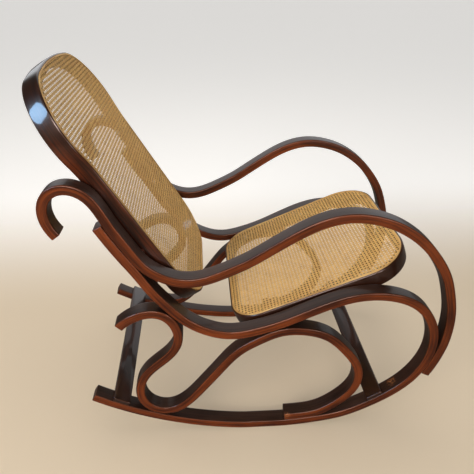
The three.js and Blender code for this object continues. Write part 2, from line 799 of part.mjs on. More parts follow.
for (const frame of [right, left]) {
  seatScrew(frame, "seat_rear_screw", rear_seat_screw);
  seatScrew(frame, "seat_front_screw", front_seat_screw);
  backFixing(frame, "upper", upper_back_screw, back_upper_room);
  backFixing(frame, "lower", lower_back_screw, back_lower_room);
}

// A board across both rockers, let into their tops, with its ends cut to the splay.
function stretcher(name, index) {
  const up = loop.side(index).negate();
  const heading = new THREE.Vector2(up.y, -up.x);
  const top = strip_thickness / 2 - stretcher_let_in + touch_gap + stretcher_thickness;
  const board_origin = loop.points[index].clone().addScaledVector(up, top);
  const group = facePlane(board_origin, heading, up);
  const reach = stretcher_width / 2;
  const half_rear = halfWidthOver(board_origin.x - reach * heading.x) - stretcher_end_inset;
  const half_front = halfWidthOver(board_origin.x + reach * heading.x) - stretcher_end_inset;
  const corners = [
    new THREE.Vector2(-reach, -half_rear),
    new THREE.Vector2(reach, -half_front),
    new THREE.Vector2(reach, half_front),
    new THREE.Vector2(-reach, half_rear),
  ];
  const radii = corners.map(() => stretcher_corner_radius);
  const outline = new THREE.Shape(roundedLoop(corners, radii, 0));
  const board_geometry = eased(outline, stretcher_thickness, stretcher_easing);
  board_geometry.translate(0, 0, -stretcher_thickness);
  const board = pieceOf(name, board_geometry, dark_wood, group);
  const seat_width = stretcher_width + 2 * touch_gap;
  const seat_height = stretcher_thickness + touch_gap + cut_overrun;
  const seat_length_over = 2 * (half_front + cut_overrun);
  const seat_cut = new THREE.BoxGeometry(seat_width, seat_length_over, seat_height);
  seat_cut.translate(0, 0, seat_height / 2 - stretcher_thickness - touch_gap);
  for (const frame of [right, left]) {
    cutLater(frame.loop_piece, seat_cut, board);
    const across = frame.side * (halfWidthInside(board_origin.x) + strip_width / 2);
    const surface = new THREE.Vector3(0, across, 0);
    const depth = stretcher_thickness + strip_thickness - screw_sink - screw_tip_cover;
    const outwards = new THREE.Vector3(0, 0, 1);
    const pieces = [board, frame.loop_piece];
    drive(frame.name + "_" + name + "_screw", surface, outwards, screw_sink, depth, pieces, group);
  }
}

stretcher("rear_stretcher", rockerStation(rear_stretcher_share));
stretcher("front_stretcher", loopStation(loop_front_stretcher_shares));

makeCuts(chair);

// The origin goes under the middle of the chair.
const outline_box = new THREE.Box3().setFromObject(chair, true);
chair.position.x = -(outline_box.min.x + outline_box.max.x) / 2;
chair.updateMatrixWorld(true);

export default chair;
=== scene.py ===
"""Looks of a bentwood rocking chair with a caned seat and back, in metres.

X runs to the sitter's front, Y to the sitter's left and Z up. The origin is on the floor under
the middle of the chair. Strips, hoops and boards follow the same middle lines as the frame.
"""

import math

import bpy
import numpy as np
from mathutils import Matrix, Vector


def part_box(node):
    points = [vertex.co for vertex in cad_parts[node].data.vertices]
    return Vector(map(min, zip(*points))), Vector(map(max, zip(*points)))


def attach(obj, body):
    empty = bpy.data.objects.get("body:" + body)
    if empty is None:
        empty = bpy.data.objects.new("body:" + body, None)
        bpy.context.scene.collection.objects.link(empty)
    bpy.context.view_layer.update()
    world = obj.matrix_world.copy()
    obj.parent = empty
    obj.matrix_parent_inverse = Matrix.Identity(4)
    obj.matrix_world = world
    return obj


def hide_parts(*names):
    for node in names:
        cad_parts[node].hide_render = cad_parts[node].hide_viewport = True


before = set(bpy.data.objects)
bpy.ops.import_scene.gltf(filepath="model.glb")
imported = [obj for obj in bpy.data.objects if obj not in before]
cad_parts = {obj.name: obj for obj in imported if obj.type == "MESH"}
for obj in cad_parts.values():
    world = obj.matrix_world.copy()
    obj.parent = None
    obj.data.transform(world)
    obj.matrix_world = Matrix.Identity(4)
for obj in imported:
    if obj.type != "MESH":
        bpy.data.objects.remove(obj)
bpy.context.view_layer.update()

# Side frames
frame_length = 1.0
frame_height = 0.776
frame_spacing = 0.510
frame_splay = math.radians(1.1)
strip_width = 0.042
strip_thickness = 0.024
strip_corner = 0.0032  # rounding of a strip's long edges
strip_crown = 0.0003  # how far its faces swell
end_easing = 0.0018  # rounding of a strip's sawn ends
face_stations = (-0.92, -0.5, 0, 0.5, 0.92)  # points over a face, as shares of its half width
touch_gap = 0.0003
foot_flatness = 0.0003  # how high over the floor a point of the rocker's flat may lie

# Rocker, measured from the point where it stands
rocker_radius = 0.900
rocker_front_run = 0.203
rocker_tail_run = 0.476
rocker_foot_front = 0.035
rocker_foot_back = 0.060
rocker_front_steps = 5
rocker_tail_steps = 12

# How tightly the brace bends where it touches the loop
shoulder_bend = (0.050, 0.025)  # radius and reach
crown_bend = (0.110, 0.040)
heel_bend = (0.065, 0.030)

# Screws
screw_radius = 0.003
screw_tip_radius = 0.0006
screw_head_radius = 0.006
screw_head_height = 0.003
dome_rim = 0.35  # height under the dome, as a share of the head's
dome_spread = 0.999  # half width of the head, as a share of the dome's half ellipse
recess_arm = 0.16  # half width of the cross recess, as a share of the head's radius
recess_reach = 0.62  # how far its arms reach, as the same share
recess_depth = 0.9  # as a share of the head's height

# Stretchers
stretcher_width = 0.048
stretcher_thickness = 0.012
stretcher_easing = 0.0022
stretcher_let_in = 0.001
stretcher_end_inset = 0.002
stretcher_corner_radius = 0.005

# Hoops
hoop_depth = 0.043
hoop_thickness = 0.020
hoop_easing = 0.0032
groove_easing = hoop_easing / 3
hoop_barrel = 0.0006  # how far the outer side swells
hoop_rim_width = 0.005
hoop_lip_depth = 0.0014  # from the face down to the wood under the cane
spline_width = 0.0045
spline_depth = 0.006
spline_rise = 0.0014
spline_gap = 0.0003

# Cane
cane_pitch = 0.009
cane_pair_spacing = 0.0023  # middle to middle of the two strands of a pair
cane_strand_width = 0.0020
cane_diagonal_width = 0.0019
cane_strand_height = 0.0005
cane_wave = 0.00035  # how far a strand rises and dips where it is woven
cane_diagonal_lift = 1.4  # how many times as far a diagonal rises and dips
cane_sag = 0.003

# Seat
seat_length = 0.497
seat_behind_rear_screw = 0.073
seat_rise = 0.017
seat_rear_room = 0.003  # between a rail and the hoop's side, at the seat's rear end
seat_front_room = 0.0005
seat_rear_corner_radius = 0.085
seat_front_corner_radius = 0.112

# Back
back_upper_room = 0.0027  # between an arm and the hoop at the upper screws
back_lower_room = 0.0045
back_above_upper_screw = 0.274
back_below_lower_screw = 0.226
back_setback = 0.038
back_waist_over_screw = 0.048  # from the upper screws up to where the sides open
back_flare = math.radians(17)
back_waist_radius = 0.180
back_crown_rise = 0.042
back_crown_straight = 0.008  # between the bend of the crown and a shoulder's
back_foot_straight = 0.210  # between the round corners
spacer_radius = 0.009
spacer_easing = 0.001

# Finishes. A stain is its light tone and its dark one.
strip_stain = [(0.19, 0.035, 0.004, 1), (0.034, 0.005, 0.001, 1)]
# Painted shade: darker tones for the strips' broad, bent faces than for their sides, standing for
# the shade those faces are seen in
shaded_face_tones = [(0.042, 0.019, 0.013, 1), (0.012, 0.005, 0.003, 1)]
shaded_face_half_widths = (0.0183, 0.0201)  # where a bent face starts and ends to turn to a side
strip_edge_color = (0.15, 0.038, 0.009, 1)
hoop_stain = [(0.036, 0.009, 0.003, 1), (0.007, 0.003, 0.002, 1)]
hoop_edge_color = (0.09, 0.027, 0.01, 1)
pore_color = (0.006, 0.002, 0.001, 1)
mirror_tint = (1, 0.75, 0.6, 1)
cane_tones = [(0.56, 0.29, 0.065, 1), (0.86, 0.55, 0.18, 1)]
cane_streak_color = (0.88, 0.64, 0.28, 1)
cane_knot_color = (0.22, 0.1, 0.035, 1)
reed_tones = [(0.5, 0.27, 0.075, 1), (0.78, 0.5, 0.18, 1)]
reed_fibre_color = (0.34, 0.17, 0.06, 1)
steel_tones = [(0.42, 0.4, 0.37, 1), (0.62, 0.6, 0.56, 1)]
# A darker colour for the screws' cross recesses than for the plating
dark_recess_color = (0.05, 0.04, 0.03, 1)

# Wear
scuff_color = (0.36, 0.13, 0.045, 1)
scuff_spots = [((0.388, -0.258, 0.135), 0.018), ((0.087, -0.276, 0.044), 0.012)]  # place, reach
scuff_strength = 0.75
# Wear and painted light: the grip band's lighter red stands for lacquer worn by hands and also
# paints the light that falls on the back hoop's sides at these heights
grip_wear_and_light_color = (0.125, 0.023, 0.005, 1)
grip_heights = (0.56, 0.85)  # where hands grip the hoops
grip_soft_limit = 0.03
grip_coat = 0.35  # what is left of the lacquer there

# Studio
studio_pale = (0.90, 0.90, 0.88, 1)
floor_half_width = 25.0
floor_near = (0.52, 0.43, 0.315, 1)
floor_far = (0.90, 0.88, 0.85, 1)
floor_fade = (0.3, 1.5)  # Y where the near colour starts and ends to turn to the far one
floor_bounce = (0.62, 0.52, 0.42, 1)
floor_mirrored = (0.16, 0.13, 0.10, 1)
floor_glow = 0.40
soft_light = (0.38, 0.38, 0.38, 1)
mirrored_front = (0.04, 0.035, 0.03, 1)
mirrored_behind = (0.80, 0.82, 0.85, 1)
behind_in_y = (0.45, 0.9)  # Y of a mirrored ray's heading where the pale part starts and is full
behind_in_x = (-0.62, -0.38)  # and its X

# Camera of the photograph, its place measured from the point where the rocker stands
camera_place = (-0.1584, -1.2337, 1.1919)
camera_pitch = math.radians(29.76)
camera_yaw = math.radians(4.33)
photo_width = 474  # in pixels, and so is the focal length
photo_focal_length = 490
sensor_width = 36

# Fineness
line_spacing = 0.004  # between the rings of a strip
straight_spacing = 0.016  # between points on the straight parts of an outline
fine_spacing = 0.002  # between the points of a faired line
fairing_reach = 0.019  # how far along a strip its bend is evened out
corner_step = math.radians(3)
repeat_gap = 1e-5  # points nearer than this are one point
ribbon_gap = 1e-6  # a strand has no ribbon between stations nearer than this
arc_points = 6  # on a quarter circle in a section
groove_arc_points = 4  # on the smaller one at the groove
barrel_points = 9  # over the hoop's outer side and over the reed
rest_anchors = 4  # where one strip lies along another
curve_samples = 40  # on each span between two anchors
spacer_sides = 40
screw_sides = 48
dome_rings = 13

# Grain. Each piece and strand is cut from another stretch of the same wood or cane.
piece_stride = 5.0
strand_stride = 0.73
layer_stride = 9.0
edge_base = 0.4  # edge value at both ends of a round edge, which is 1 midway
face_edge = 0.25  # and the value that a flat face comes to near them

# Middle lines of the strips in the side view, as shares of the frame's length and height,
# from the point where the rocker stands.
loop_leg_shares = [[-0.396, 0.866], [-0.373, 0.812], [-0.345, 0.75], [-0.322, 0.706]]
loop_sweep_shares = [[-0.303, 0.66], [-0.28, 0.615]]
loop_shoulder_joint_shares = [-0.238, 0.548]
loop_dip_shares = [
    [-0.208, 0.508], [-0.17, 0.477], [-0.132, 0.457], [-0.098, 0.45], [-0.06, 0.455],
]
loop_rear_seat_screw_shares = [-0.02, 0.469]
loop_crown_joint_shares = [0.008, 0.479]
loop_rail_shares = [[0.07, 0.513], [0.12, 0.543]]
loop_front_seat_screw_shares = [0.165, 0.567]
loop_front_shares = [
    [0.21, 0.584], [0.26, 0.59], [0.31, 0.582], [0.36, 0.558], [0.398, 0.518],
    [0.425, 0.464], [0.438, 0.402], [0.439, 0.345], [0.43, 0.291], [0.41, 0.235],
    [0.378, 0.181],
]
loop_front_stretcher_shares = [0.317, 0.1175]
loop_front_foot_shares = [[0.28, 0.0895], [0.243, 0.064]]
arm_scroll_shares = [
    [-0.488, 0.84], [-0.5, 0.869], [-0.506, 0.902], [-0.505, 0.933], [-0.496, 0.961],
    [-0.478, 0.981], [-0.453, 0.986], [-0.426, 0.977], [-0.405, 0.955], [-0.388, 0.919],
]
arm_rest_shares = [
    [-0.275, 0.697], [-0.248, 0.677], [-0.22, 0.666], [-0.195, 0.664], [-0.168, 0.669],
    [-0.142, 0.679], [-0.105, 0.7], [-0.06, 0.727], [-0.015, 0.764], [0.04, 0.809],
    [0.08, 0.839], [0.12, 0.861], [0.155, 0.872], [0.19, 0.875], [0.23, 0.867],
    [0.277, 0.849], [0.31, 0.826], [0.344, 0.796], [0.374, 0.76], [0.4, 0.719],
    [0.42, 0.683], [0.438, 0.639], [0.452, 0.586], [0.465, 0.528], [0.471, 0.477],
    [0.472, 0.419], [0.47, 0.367],
]
arm_front_joint_shares = [0.437, 0.325]  # where the arm meets the loop's front
brace_tail_shares = [[-0.382, 0.5], [-0.36, 0.523], [-0.335, 0.539], [-0.305, 0.549]]
brace_neck_shares = [
    [-0.234, 0.451], [-0.241, 0.415], [-0.257, 0.379], [-0.28, 0.349], [-0.303, 0.322],
    [-0.324, 0.293], [-0.34, 0.258], [-0.348, 0.219], [-0.348, 0.187], [-0.34, 0.159],
]
brace_diagonal_shares = [
    [-0.232, 0.137], [-0.207, 0.169], [-0.18, 0.213], [-0.152, 0.26], [-0.12, 0.316],
    [-0.088, 0.366], [-0.06, 0.397],
]
brace_lobe_shares = [
    [0.09, 0.454], [0.12, 0.446], [0.146, 0.432], [0.172, 0.409], [0.196, 0.375],
    [0.221, 0.335], [0.239, 0.299], [0.249, 0.26], [0.25, 0.216], [0.241, 0.177],
    [0.221, 0.138], [0.195, 0.107], [0.166, 0.078],
]

# Places along the rocker, as shares of the frame's length
brace_heel_joint_share = -0.302
brace_foot_shares = [0.136, 0.053]  # both ends of the brace's rest
rear_stretcher_share = -0.396

strip_pitch = strip_thickness + touch_gap
sides = {"right": -1, "left": 1}


# Lines in the side view

def placed(*share_lists):
    """Points in the side view, from lists of shares of the frame's length and height."""
    shares = np.vstack([np.reshape(pairs, (-1, 2)) for pairs in share_lists])
    return shares * (frame_length, frame_height)


def unit(vectors):
    """Vectors over their own lengths."""
    return vectors / np.linalg.norm(vectors, axis=-1, keepdims=True)


def left_of(directions):
    """Directions in a plane, turned a quarter to their left."""
    return np.stack([-directions[..., 1], directions[..., 0]], axis=-1)


def headings(angles):
    """Unit directions at angles from the first axis of a plane."""
    return np.stack([np.cos(angles), np.sin(angles)], axis=-1)


def lengths_along(points):
    """Lengths from the first point to each: the running sum of the steps between them."""
    return np.concatenate([[0], np.cumsum(np.linalg.norm(np.diff(points, axis=0), axis=1))])


def read_along(lengths, reach, rows):
    """Rows of values that are known along a reach, read between at other lengths."""
    return np.stack([np.interp(lengths, reach, column) for column in rows.T], axis=-1)


def faired(points):
    """Points spaced evenly along a line and moved a little, so that its bend changes slowly: the
    sum of their squared moves and of their squared third differences, times a stiffness, is
    least."""
    reach = lengths_along(points)
    even = np.linspace(0, reach[-1], round(reach[-1] / fine_spacing) + 1)
    third = np.diff(np.eye(len(even)), n=3, axis=0)
    stiffness = (fairing_reach / fine_spacing) ** 6
    return np.linalg.solve(np.eye(len(even)) + stiffness * third.T @ third,
                           read_along(even, reach, points))


class Line:
    """A smooth line in the side view, faired and measured along its length. It starts as a
    centripetal Catmull-Rom curve: each span between two anchors is a cubic, and its speeds at
    both ends follow from the next anchors, timed by the square root of their distance. The
    strip's underside never goes below the floor."""

    def __init__(self, anchors):
        padded = np.vstack([2 * anchors[0] - anchors[1], anchors, 2 * anchors[-1] - anchors[-2]])
        p0, p1, p2, p3 = padded[:-3], padded[1:-2], padded[2:-1], padded[3:]
        d0, d1, d2 = (np.sqrt(np.linalg.norm(b - a, axis=1))[:, None]
                      for a, b in ((p0, p1), (p1, p2), (p2, p3)))
        leave = ((p1 - p0) / d0 - (p2 - p0) / (d0 + d1) + (p2 - p1) / d1) * d1
        arrive = ((p2 - p1) / d1 - (p3 - p1) / (d1 + d2) + (p3 - p2) / d2) * d1
        t = (np.arange(curve_samples) / curve_samples)[None, :, None]
        a, b, c, d = (v[:, None] for v in (
            p1, leave, 3 * (p2 - p1) - 2 * leave - arrive, 2 * (p1 - p2) + leave + arrive))
        curve = (a + b * t + c * t**2 + d * t**3).reshape(-1, 2)
        self.points = faired(np.vstack([curve, anchors[-1]]))
        self.points[:, 1] = np.maximum(self.points[:, 1], strip_thickness / 2)
        self.reach = lengths_along(self.points)
        self.length = self.reach[-1]
        self.headings = unit(np.gradient(self.points, self.reach, axis=0))

    def at(self, lengths):
        """Points and left-hand unit normals at lengths along the line."""
        points = read_along(lengths, self.reach, self.points)
        return points, left_of(unit(read_along(lengths, self.reach, self.headings)))

    def nearest(self, point):
        """Length along the line to its point nearest to a point."""
        return self.reach[np.argmin(np.linalg.norm(self.points - point, axis=1))]

    def beside(self, lengths, out):
        """Points at a distance to the left of the line."""
        points, normals = self.at(lengths)
        return points + normals * out


def rocker_arc(foot_end, run, steps, heading):
    """Points on a circle about a middle over the foot, at equal angles from the foot to the end."""
    radius = rocker_radius - strip_thickness / 2
    angles = np.linspace(math.asin(foot_end / radius), math.asin(run / radius), steps + 1)
    rise = radius * (math.cos(angles[0]) - np.cos(angles))
    return np.stack([heading * radius * np.sin(angles), strip_thickness / 2 + rise], axis=-1)


rocker_stations = np.vstack([
    rocker_arc(rocker_foot_front, rocker_front_run, rocker_front_steps, 1)[::-1],
    rocker_arc(rocker_foot_back, rocker_tail_run, rocker_tail_steps, -1),
])

loop = Line(np.vstack([
    placed(loop_leg_shares, loop_sweep_shares, loop_shoulder_joint_shares, loop_dip_shares,
           loop_rear_seat_screw_shares, loop_crown_joint_shares, loop_rail_shares,
           loop_front_seat_screw_shares, loop_front_shares, loop_front_stretcher_shares,
           loop_front_foot_shares),
    rocker_stations,
]))


def loop_place(shares):
    """Length along the loop to its point nearest to a place in the side view."""
    return loop.nearest(placed(shares)[0])


def rocker_place(along_share):
    """Length along the loop to the rocker's station nearest to a place along the floor."""
    along = along_share * frame_length
    station = rocker_stations[np.argmin(abs(rocker_stations[:, 0] - along))]
    return loop.nearest(station)


def under_rocker_place(along_share):
    """Length along the loop where a strip lying inside it is at a place along the floor."""
    along = loop.beside(loop.reach, -strip_pitch)[:, 0]
    is_rocker = loop.reach >= loop.nearest(rocker_stations[0])
    misses = np.where(is_rocker, abs(along - along_share * frame_length), np.inf)
    return loop.reach[np.argmin(misses)]


def touching_loop(length, bend):
    """Three anchors inside the loop that touch it at one place and bend away at both ends, as far
    as a circle of the bend's radius does."""
    radius, reach = bend
    point, normal = loop.at([length])
    inwards = -normal[0]
    forwards = left_of(inwards)
    touch = point[0] + inwards * strip_pitch
    away = inwards * reach**2 / (2 * radius)
    return np.array([touch - forwards * reach + away, touch, touch + forwards * reach + away])


def strip_ends_of_arm():
    """Lengths along the loop where the arm starts to lie on its front and where the arm ends,
    which is as low as the frame's own arm reaches."""
    top = loop_place(arm_front_joint_shares)
    low_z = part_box("right_arm")[0].z
    is_front = (loop.points[:, 0] > 0) & (loop.reach > top) & (loop.points[:, 1] > low_z)
    return top, loop.reach[is_front][-1]


def rest_on_loop(start, end, out):
    """Anchors of a strip that lies along the loop."""
    return loop.beside(np.linspace(start, end, rest_anchors), out)


leg_lengths = [loop.nearest(point) for point in placed(loop_leg_shares)]
arm = Line(np.vstack([
    placed(arm_scroll_shares),
    loop.beside(leg_lengths, strip_pitch),
    placed(arm_rest_shares),
    rest_on_loop(*strip_ends_of_arm(), strip_pitch),
]))
brace = Line(np.vstack([
    placed(brace_tail_shares),
    touching_loop(loop_place(loop_shoulder_joint_shares), shoulder_bend),
    placed(brace_neck_shares),
    touching_loop(rocker_place(brace_heel_joint_share), heel_bend)[::-1],
    placed(brace_diagonal_shares),
    touching_loop(loop_place(loop_crown_joint_shares), crown_bend),
    placed(brace_lobe_shares),
    rest_on_loop(rocker_place(brace_foot_shares[0]), under_rocker_place(brace_foot_shares[1]),
                 -strip_pitch),
]))


# The frame's own places

def node_points(name):
    """The points of a CAD node's mesh."""
    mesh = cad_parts[name].data
    points = np.empty(len(mesh.vertices) * 3, np.float32)
    mesh.vertices.foreach_get("co", points)
    return points.reshape(-1, 3).astype(float)


def standing_place():
    """X of the point where the rockers stand: the middle of the flat under the right rocker, less
    the flat's own middle."""
    points = node_points("right_rail_and_rocker")
    foot = points[points[:, 2] < foot_flatness, 0]
    flat_middle = (rocker_foot_front - rocker_foot_back) / 2
    return (foot.min() + foot.max()) / 2 - flat_middle * math.cos(frame_splay)


standing_x = standing_place()


def in_side_frame(points, side):
    """Points of a side frame (along, across, up), turned about Z by the splay and moved out."""
    turn = side * frame_splay
    x = points[..., 0] * math.cos(turn) - points[..., 1] * math.sin(turn) + standing_x
    y = points[..., 0] * math.sin(turn) + points[..., 1] * math.cos(turn)
    return np.stack([x, y + side * frame_spacing / 2, points[..., 2]], axis=-1)


def back_screw_place(place):
    """Where a back screw lies in its side frame: the middle of its spacer, with the splay
    undone."""
    points = node_points(f"right_back_{place}_spacer")
    x, y, z = (points.min(0) + points.max(0)) / 2
    turn = sides["right"] * frame_splay
    across = y - sides["right"] * frame_spacing / 2
    return np.array([(x - standing_x) * math.cos(turn) + across * math.sin(turn), z])


# Skins. Each point carries its place, its place in the wood's grain and how near it is to an edge.

def closed_rings(rings, is_loop=False):
    """Quads between neighbouring points of neighbouring rings. The rings close on themselves; the
    row of rings closes too, or each end gets a fan to the mean of its ring."""
    count, size, channels = rings.shape
    index = np.arange(count * size).reshape(count, size)
    ahead = np.roll(index, -1, axis=0)
    rows = slice(None) if is_loop else slice(0, -1)
    quads = np.stack([
        index[rows], np.roll(index, -1, axis=1)[rows],
        np.roll(ahead, -1, axis=1)[rows], ahead[rows],
    ], axis=-1).reshape(-1, 4)
    points = rings.reshape(-1, channels)
    if is_loop:
        return points, quads, np.empty((0, 3), int)
    first, last = index[0], index[-1]
    start, end = len(points), len(points) + 1
    tris = np.vstack([
        np.stack([np.roll(first, -1), first, np.full(size, start)], axis=-1),
        np.stack([last, np.roll(last, -1), np.full(size, end)], axis=-1),
    ])
    return np.vstack([points, rings[0].mean(0), rings[-1].mean(0)]), quads, tris


def with_grain(places, along, across, deep, edge=0.0):
    """Places with three places in the grain and an edge value beside them, as seven channels."""
    marks = [np.broadcast_to(mark, places.shape[:-1]) for mark in (along, across, deep, edge)]
    return np.concatenate([places, np.stack(marks, axis=-1)], axis=-1)


def joined(skins):
    """Several skins as one: their points follow each other and their faces count on."""
    starts = np.cumsum([0] + [len(points) for points, _, _ in skins[:-1]])
    return (
        np.vstack([points for points, _, _ in skins]),
        np.vstack([quads + start for (_, quads, _), start in zip(skins, starts)]),
        np.vstack([tris + start for (_, _, tris), start in zip(skins, starts)]),
    )


def signed_volume(points, quads, tris):
    """Sum over all faces of the signed volume of the tetrahedra that they span with the origin."""
    faces = np.vstack([quads[:, [0, 1, 2]], quads[:, [0, 2, 3]], tris])
    a, b, c = (points[faces[:, i], :3] for i in range(3))
    return np.einsum("ij,ij->i", a, np.cross(b, c)).sum() / 6


def in_scene(name, data):
    made = bpy.data.objects.new(name, data)
    bpy.context.scene.collection.objects.link(made)
    return made


def piece(name, skin, slot, nodes):
    """Makes a skin a mesh object that rides on the chair and stands for its CAD nodes. A skin that
    is inside out has its faces turned round."""
    points, quads, tris = skin
    if signed_volume(points, quads, tris) < 0:
        quads, tris = quads[:, ::-1], tris[:, ::-1]
    corners = np.concatenate([quads.ravel(), tris.ravel()]).astype(np.int32)
    sizes = np.concatenate([np.full(len(quads), 4), np.full(len(tris), 3)])
    starts = np.concatenate([[0], np.cumsum(sizes)[:-1]]).astype(np.int32)
    mesh = bpy.data.meshes.new(name)
    mesh.vertices.add(len(points))
    mesh.vertices.foreach_set("co", points[:, :3].astype(np.float32).ravel())
    mesh.loops.add(len(corners))
    mesh.loops.foreach_set("vertex_index", corners)
    mesh.polygons.add(len(sizes))
    mesh.polygons.foreach_set("loop_start", starts)
    mesh.update(calc_edges=True)
    grain = mesh.attributes.new("grain", "FLOAT_VECTOR", "POINT")
    grain.data.foreach_set("vector", points[:, 3:6].astype(np.float32).ravel())
    edge = mesh.attributes.new("edge", "FLOAT", "POINT")
    edge.data.foreach_set("value", points[:, 6].astype(np.float32))
    mesh.shade_smooth()
    mesh.materials.append(finishes[slot])
    made = in_scene(name, mesh)
    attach(made, "root")
    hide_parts(*nodes)


# Bent strips

def edge_values(count):
    """Edge values round a corner: a half sine over their base."""
    return edge_base + (1 - edge_base) * np.sin(np.linspace(0, math.pi, count))


def strip_section():
    """The section of a strip as an inner rectangle, unit directions out of it, swell and edge
    values: a point is its inner point plus its direction times the corner radius and swell. The
    four corners are quarter circles and the faces swell by a parabola."""
    inner_half = np.array([strip_width, strip_thickness]) / 2 - strip_crown - strip_corner
    stations = np.array(face_stations)
    parts = []
    for quarter in range(4):
        out = headings(np.radians(np.linspace(0, 90, arc_points) + 90 * quarter))
        corner = np.tile(np.sign(out.mean(0)) * inner_half, (arc_points, 1))
        parts.append((corner, out, np.zeros(arc_points), edge_values(arc_points)))
        face_out = out[-1]
        face = (face_out + stations[:, None] * left_of(face_out)) * inner_half
        parts.append((face, np.tile(face_out, (len(stations), 1)),
                      strip_crown * (1 - stations**2), face_edge * stations**6))
    return [np.concatenate(columns) for columns in zip(*parts)]


def quarter_circle(radius):
    """How far the points of a rounded rim lie in from the side and down from the face."""
    angles = np.linspace(0, math.pi / 2, arc_points)
    return radius * (1 - np.sin(angles)), radius * (1 - np.cos(angles))


def strip_skin(line, side, number):
    """A strip: its section carried along its line and shrunk by a quarter circle at both ends."""
    inner, out, swell, edge = strip_section()
    _, ends = quarter_circle(end_easing)
    count = int(line.length / line_spacing)
    middle = np.linspace(end_easing, line.length - end_easing, count)[1:-1]
    lengths = np.concatenate([ends, middle, line.length - ends[::-1]])
    from_end = np.minimum(np.minimum(lengths, line.length - lengths), end_easing)
    inset = end_easing - np.sqrt(end_easing**2 - (end_easing - from_end) ** 2)
    points, normals = line.at(lengths)
    radius = strip_corner + swell - inset[:, None]
    across, deep = np.moveaxis(inner + out * radius[..., None], -1, 0)
    along, up = np.moveaxis(points[:, None] + normals[:, None] * deep[..., None], -1, 0)
    places = in_side_frame(np.stack([along, across, up], axis=-1), side)
    edges = np.maximum(edge, inset[:, None] / end_easing)
    return closed_rings(
        with_grain(places, lengths[:, None] + piece_stride * number, across, deep, edges))


# Hoops, splines and boards, in the plane of their face

class FacePlane:
    """A plane across the chair: its first axis runs along a heading in the side view, its second
    to the sitter's left and its third out of the face."""

    def __init__(self, origin, heading):
        self.origin = origin
        self.heading = heading
        self.out = left_of(heading)

    def places(self, along, across, height):
        """The origin plus a length times the heading plus a height times the way out of the face.
        The place across is taken as it is."""
        side_view = (self.origin + along[..., None] * self.heading
                     + height[..., None] * self.out)
        return np.stack([side_view[..., 0] + standing_x, across, side_view[..., 1]], axis=-1)


def rounded_outline(corners, radii):
    """A polygon with its corners as arcs: points around it, the unit directions into it, and
    their lengths around it. An arc's middle lies on the bisector of its corner, as far as its
    radius over the sine of half the corner's angle. At a waist, where a corner turns the other
    way, the middle lies outside and so the directions into the outline run away from it."""
    arcs, inwards = [], []
    for corner, last, following, radius in zip(
            corners, np.roll(corners, 1, axis=0), np.roll(corners, -1, axis=0), radii):
        to_last, to_next = unit(last - corner), unit(following - corner)
        half_angle = math.acos(to_last @ to_next) / 2
        bisector = unit(to_last + to_next)
        bend = math.copysign(1, to_next[0] * to_last[1] - to_next[1] * to_last[0])
        turn = math.pi - 2 * half_angle
        steps = max(round(turn / corner_step), 2)
        angles = bend * np.linspace(-turn / 2, turn / 2, steps + 1)
        spokes = -headings(angles) @ np.array([bisector, left_of(bisector)])
        arcs.append(corner + bisector * radius / math.sin(half_angle) + spokes * radius)
        inwards.append(-bend * spokes)
    points, directions = [], []
    for this_arc, following, inward in zip(arcs, arcs[1:] + arcs[:1], inwards):
        start, end = this_arc[-1], following[0]
        steps = max(int(np.linalg.norm(end - start) / straight_spacing), 1)
        shares = (np.arange(1, steps) / steps)[:, None]
        points += [this_arc, start + (end - start) * shares]
        directions += [inward, np.broadcast_to(inward[-1], (steps - 1, 2))]
    outline, directions = np.vstack(points), np.vstack(directions)
    is_new = np.linalg.norm(outline - np.roll(outline, 1, axis=0), axis=1) > repeat_gap
    return outline[is_new], directions[is_new], lengths_along(outline[is_new])


def carried_round(plane, outline, profile, edge, number):
    """A profile of insets and heights carried round an outline as a closed loop."""
    points, inwards, lengths = outline
    inset, height = profile.T
    spread = points[:, None] + inwards[:, None] * inset[:, None]
    places = plane.places(*np.moveaxis(spread, -1, 0), height)
    return with_grain(places, lengths[:, None] + piece_stride * number, inset, height, edge)


def arc(centre, radius, start, end, count=arc_points):
    """Points on a circle between two angles in degrees, and their edge values."""
    angles = np.radians(np.linspace(start, end, count))
    return np.array(centre) + radius * headings(angles), edge_values(count)


def hoop_profile():
    """The hoop's section: a barrelled outer side, round edges, the rim, the spline's groove, the
    lip under the cane and a plain inner side. Insets run inwards and heights out of the face."""
    e = hoop_easing
    groove_out = hoop_rim_width - spline_gap
    groove_in = hoop_rim_width + spline_width + spline_gap
    sweep = np.linspace(-1, 1, barrel_points)[1:-1]
    mid = -hoop_depth / 2
    side = np.stack([hoop_barrel * sweep**2, mid + (hoop_depth / 2 - e) * sweep], axis=-1)
    groove = [[groove_out, -spline_depth], [groove_in, -spline_depth],
              [groove_in, -hoop_lip_depth]]
    parts = [
        arc((hoop_barrel + e, -hoop_depth + e), e, 270, 180),
        (side, 0 * sweep),
        arc((hoop_barrel + e, -e), e, 180, 90),
        arc((groove_out - groove_easing, -groove_easing), groove_easing, 90, 0,
            groove_arc_points),
        (groove, np.zeros(3)),
        arc((hoop_thickness - e, -hoop_lip_depth - e), e, 90, 0),
        ([[hoop_thickness, mid]], np.zeros(1)),
        arc((hoop_thickness - e, -hoop_depth + e), e, 0, -90),
    ]
    return [np.concatenate(columns) for columns in zip(*parts)]


def spline_profile():
    """The reed's section: straight sides in the groove and half an ellipse over the rim."""
    angles = np.linspace(0, math.pi, barrel_points)
    half = spline_width / 2
    middle = hoop_rim_width + half
    top = np.stack([middle - half * np.cos(angles), spline_rise * np.sin(angles)], axis=-1)
    foot = np.array([[middle + half, -spline_depth], [middle - half, -spline_depth]])
    return np.vstack([top, foot]), np.zeros(len(angles) + len(foot))


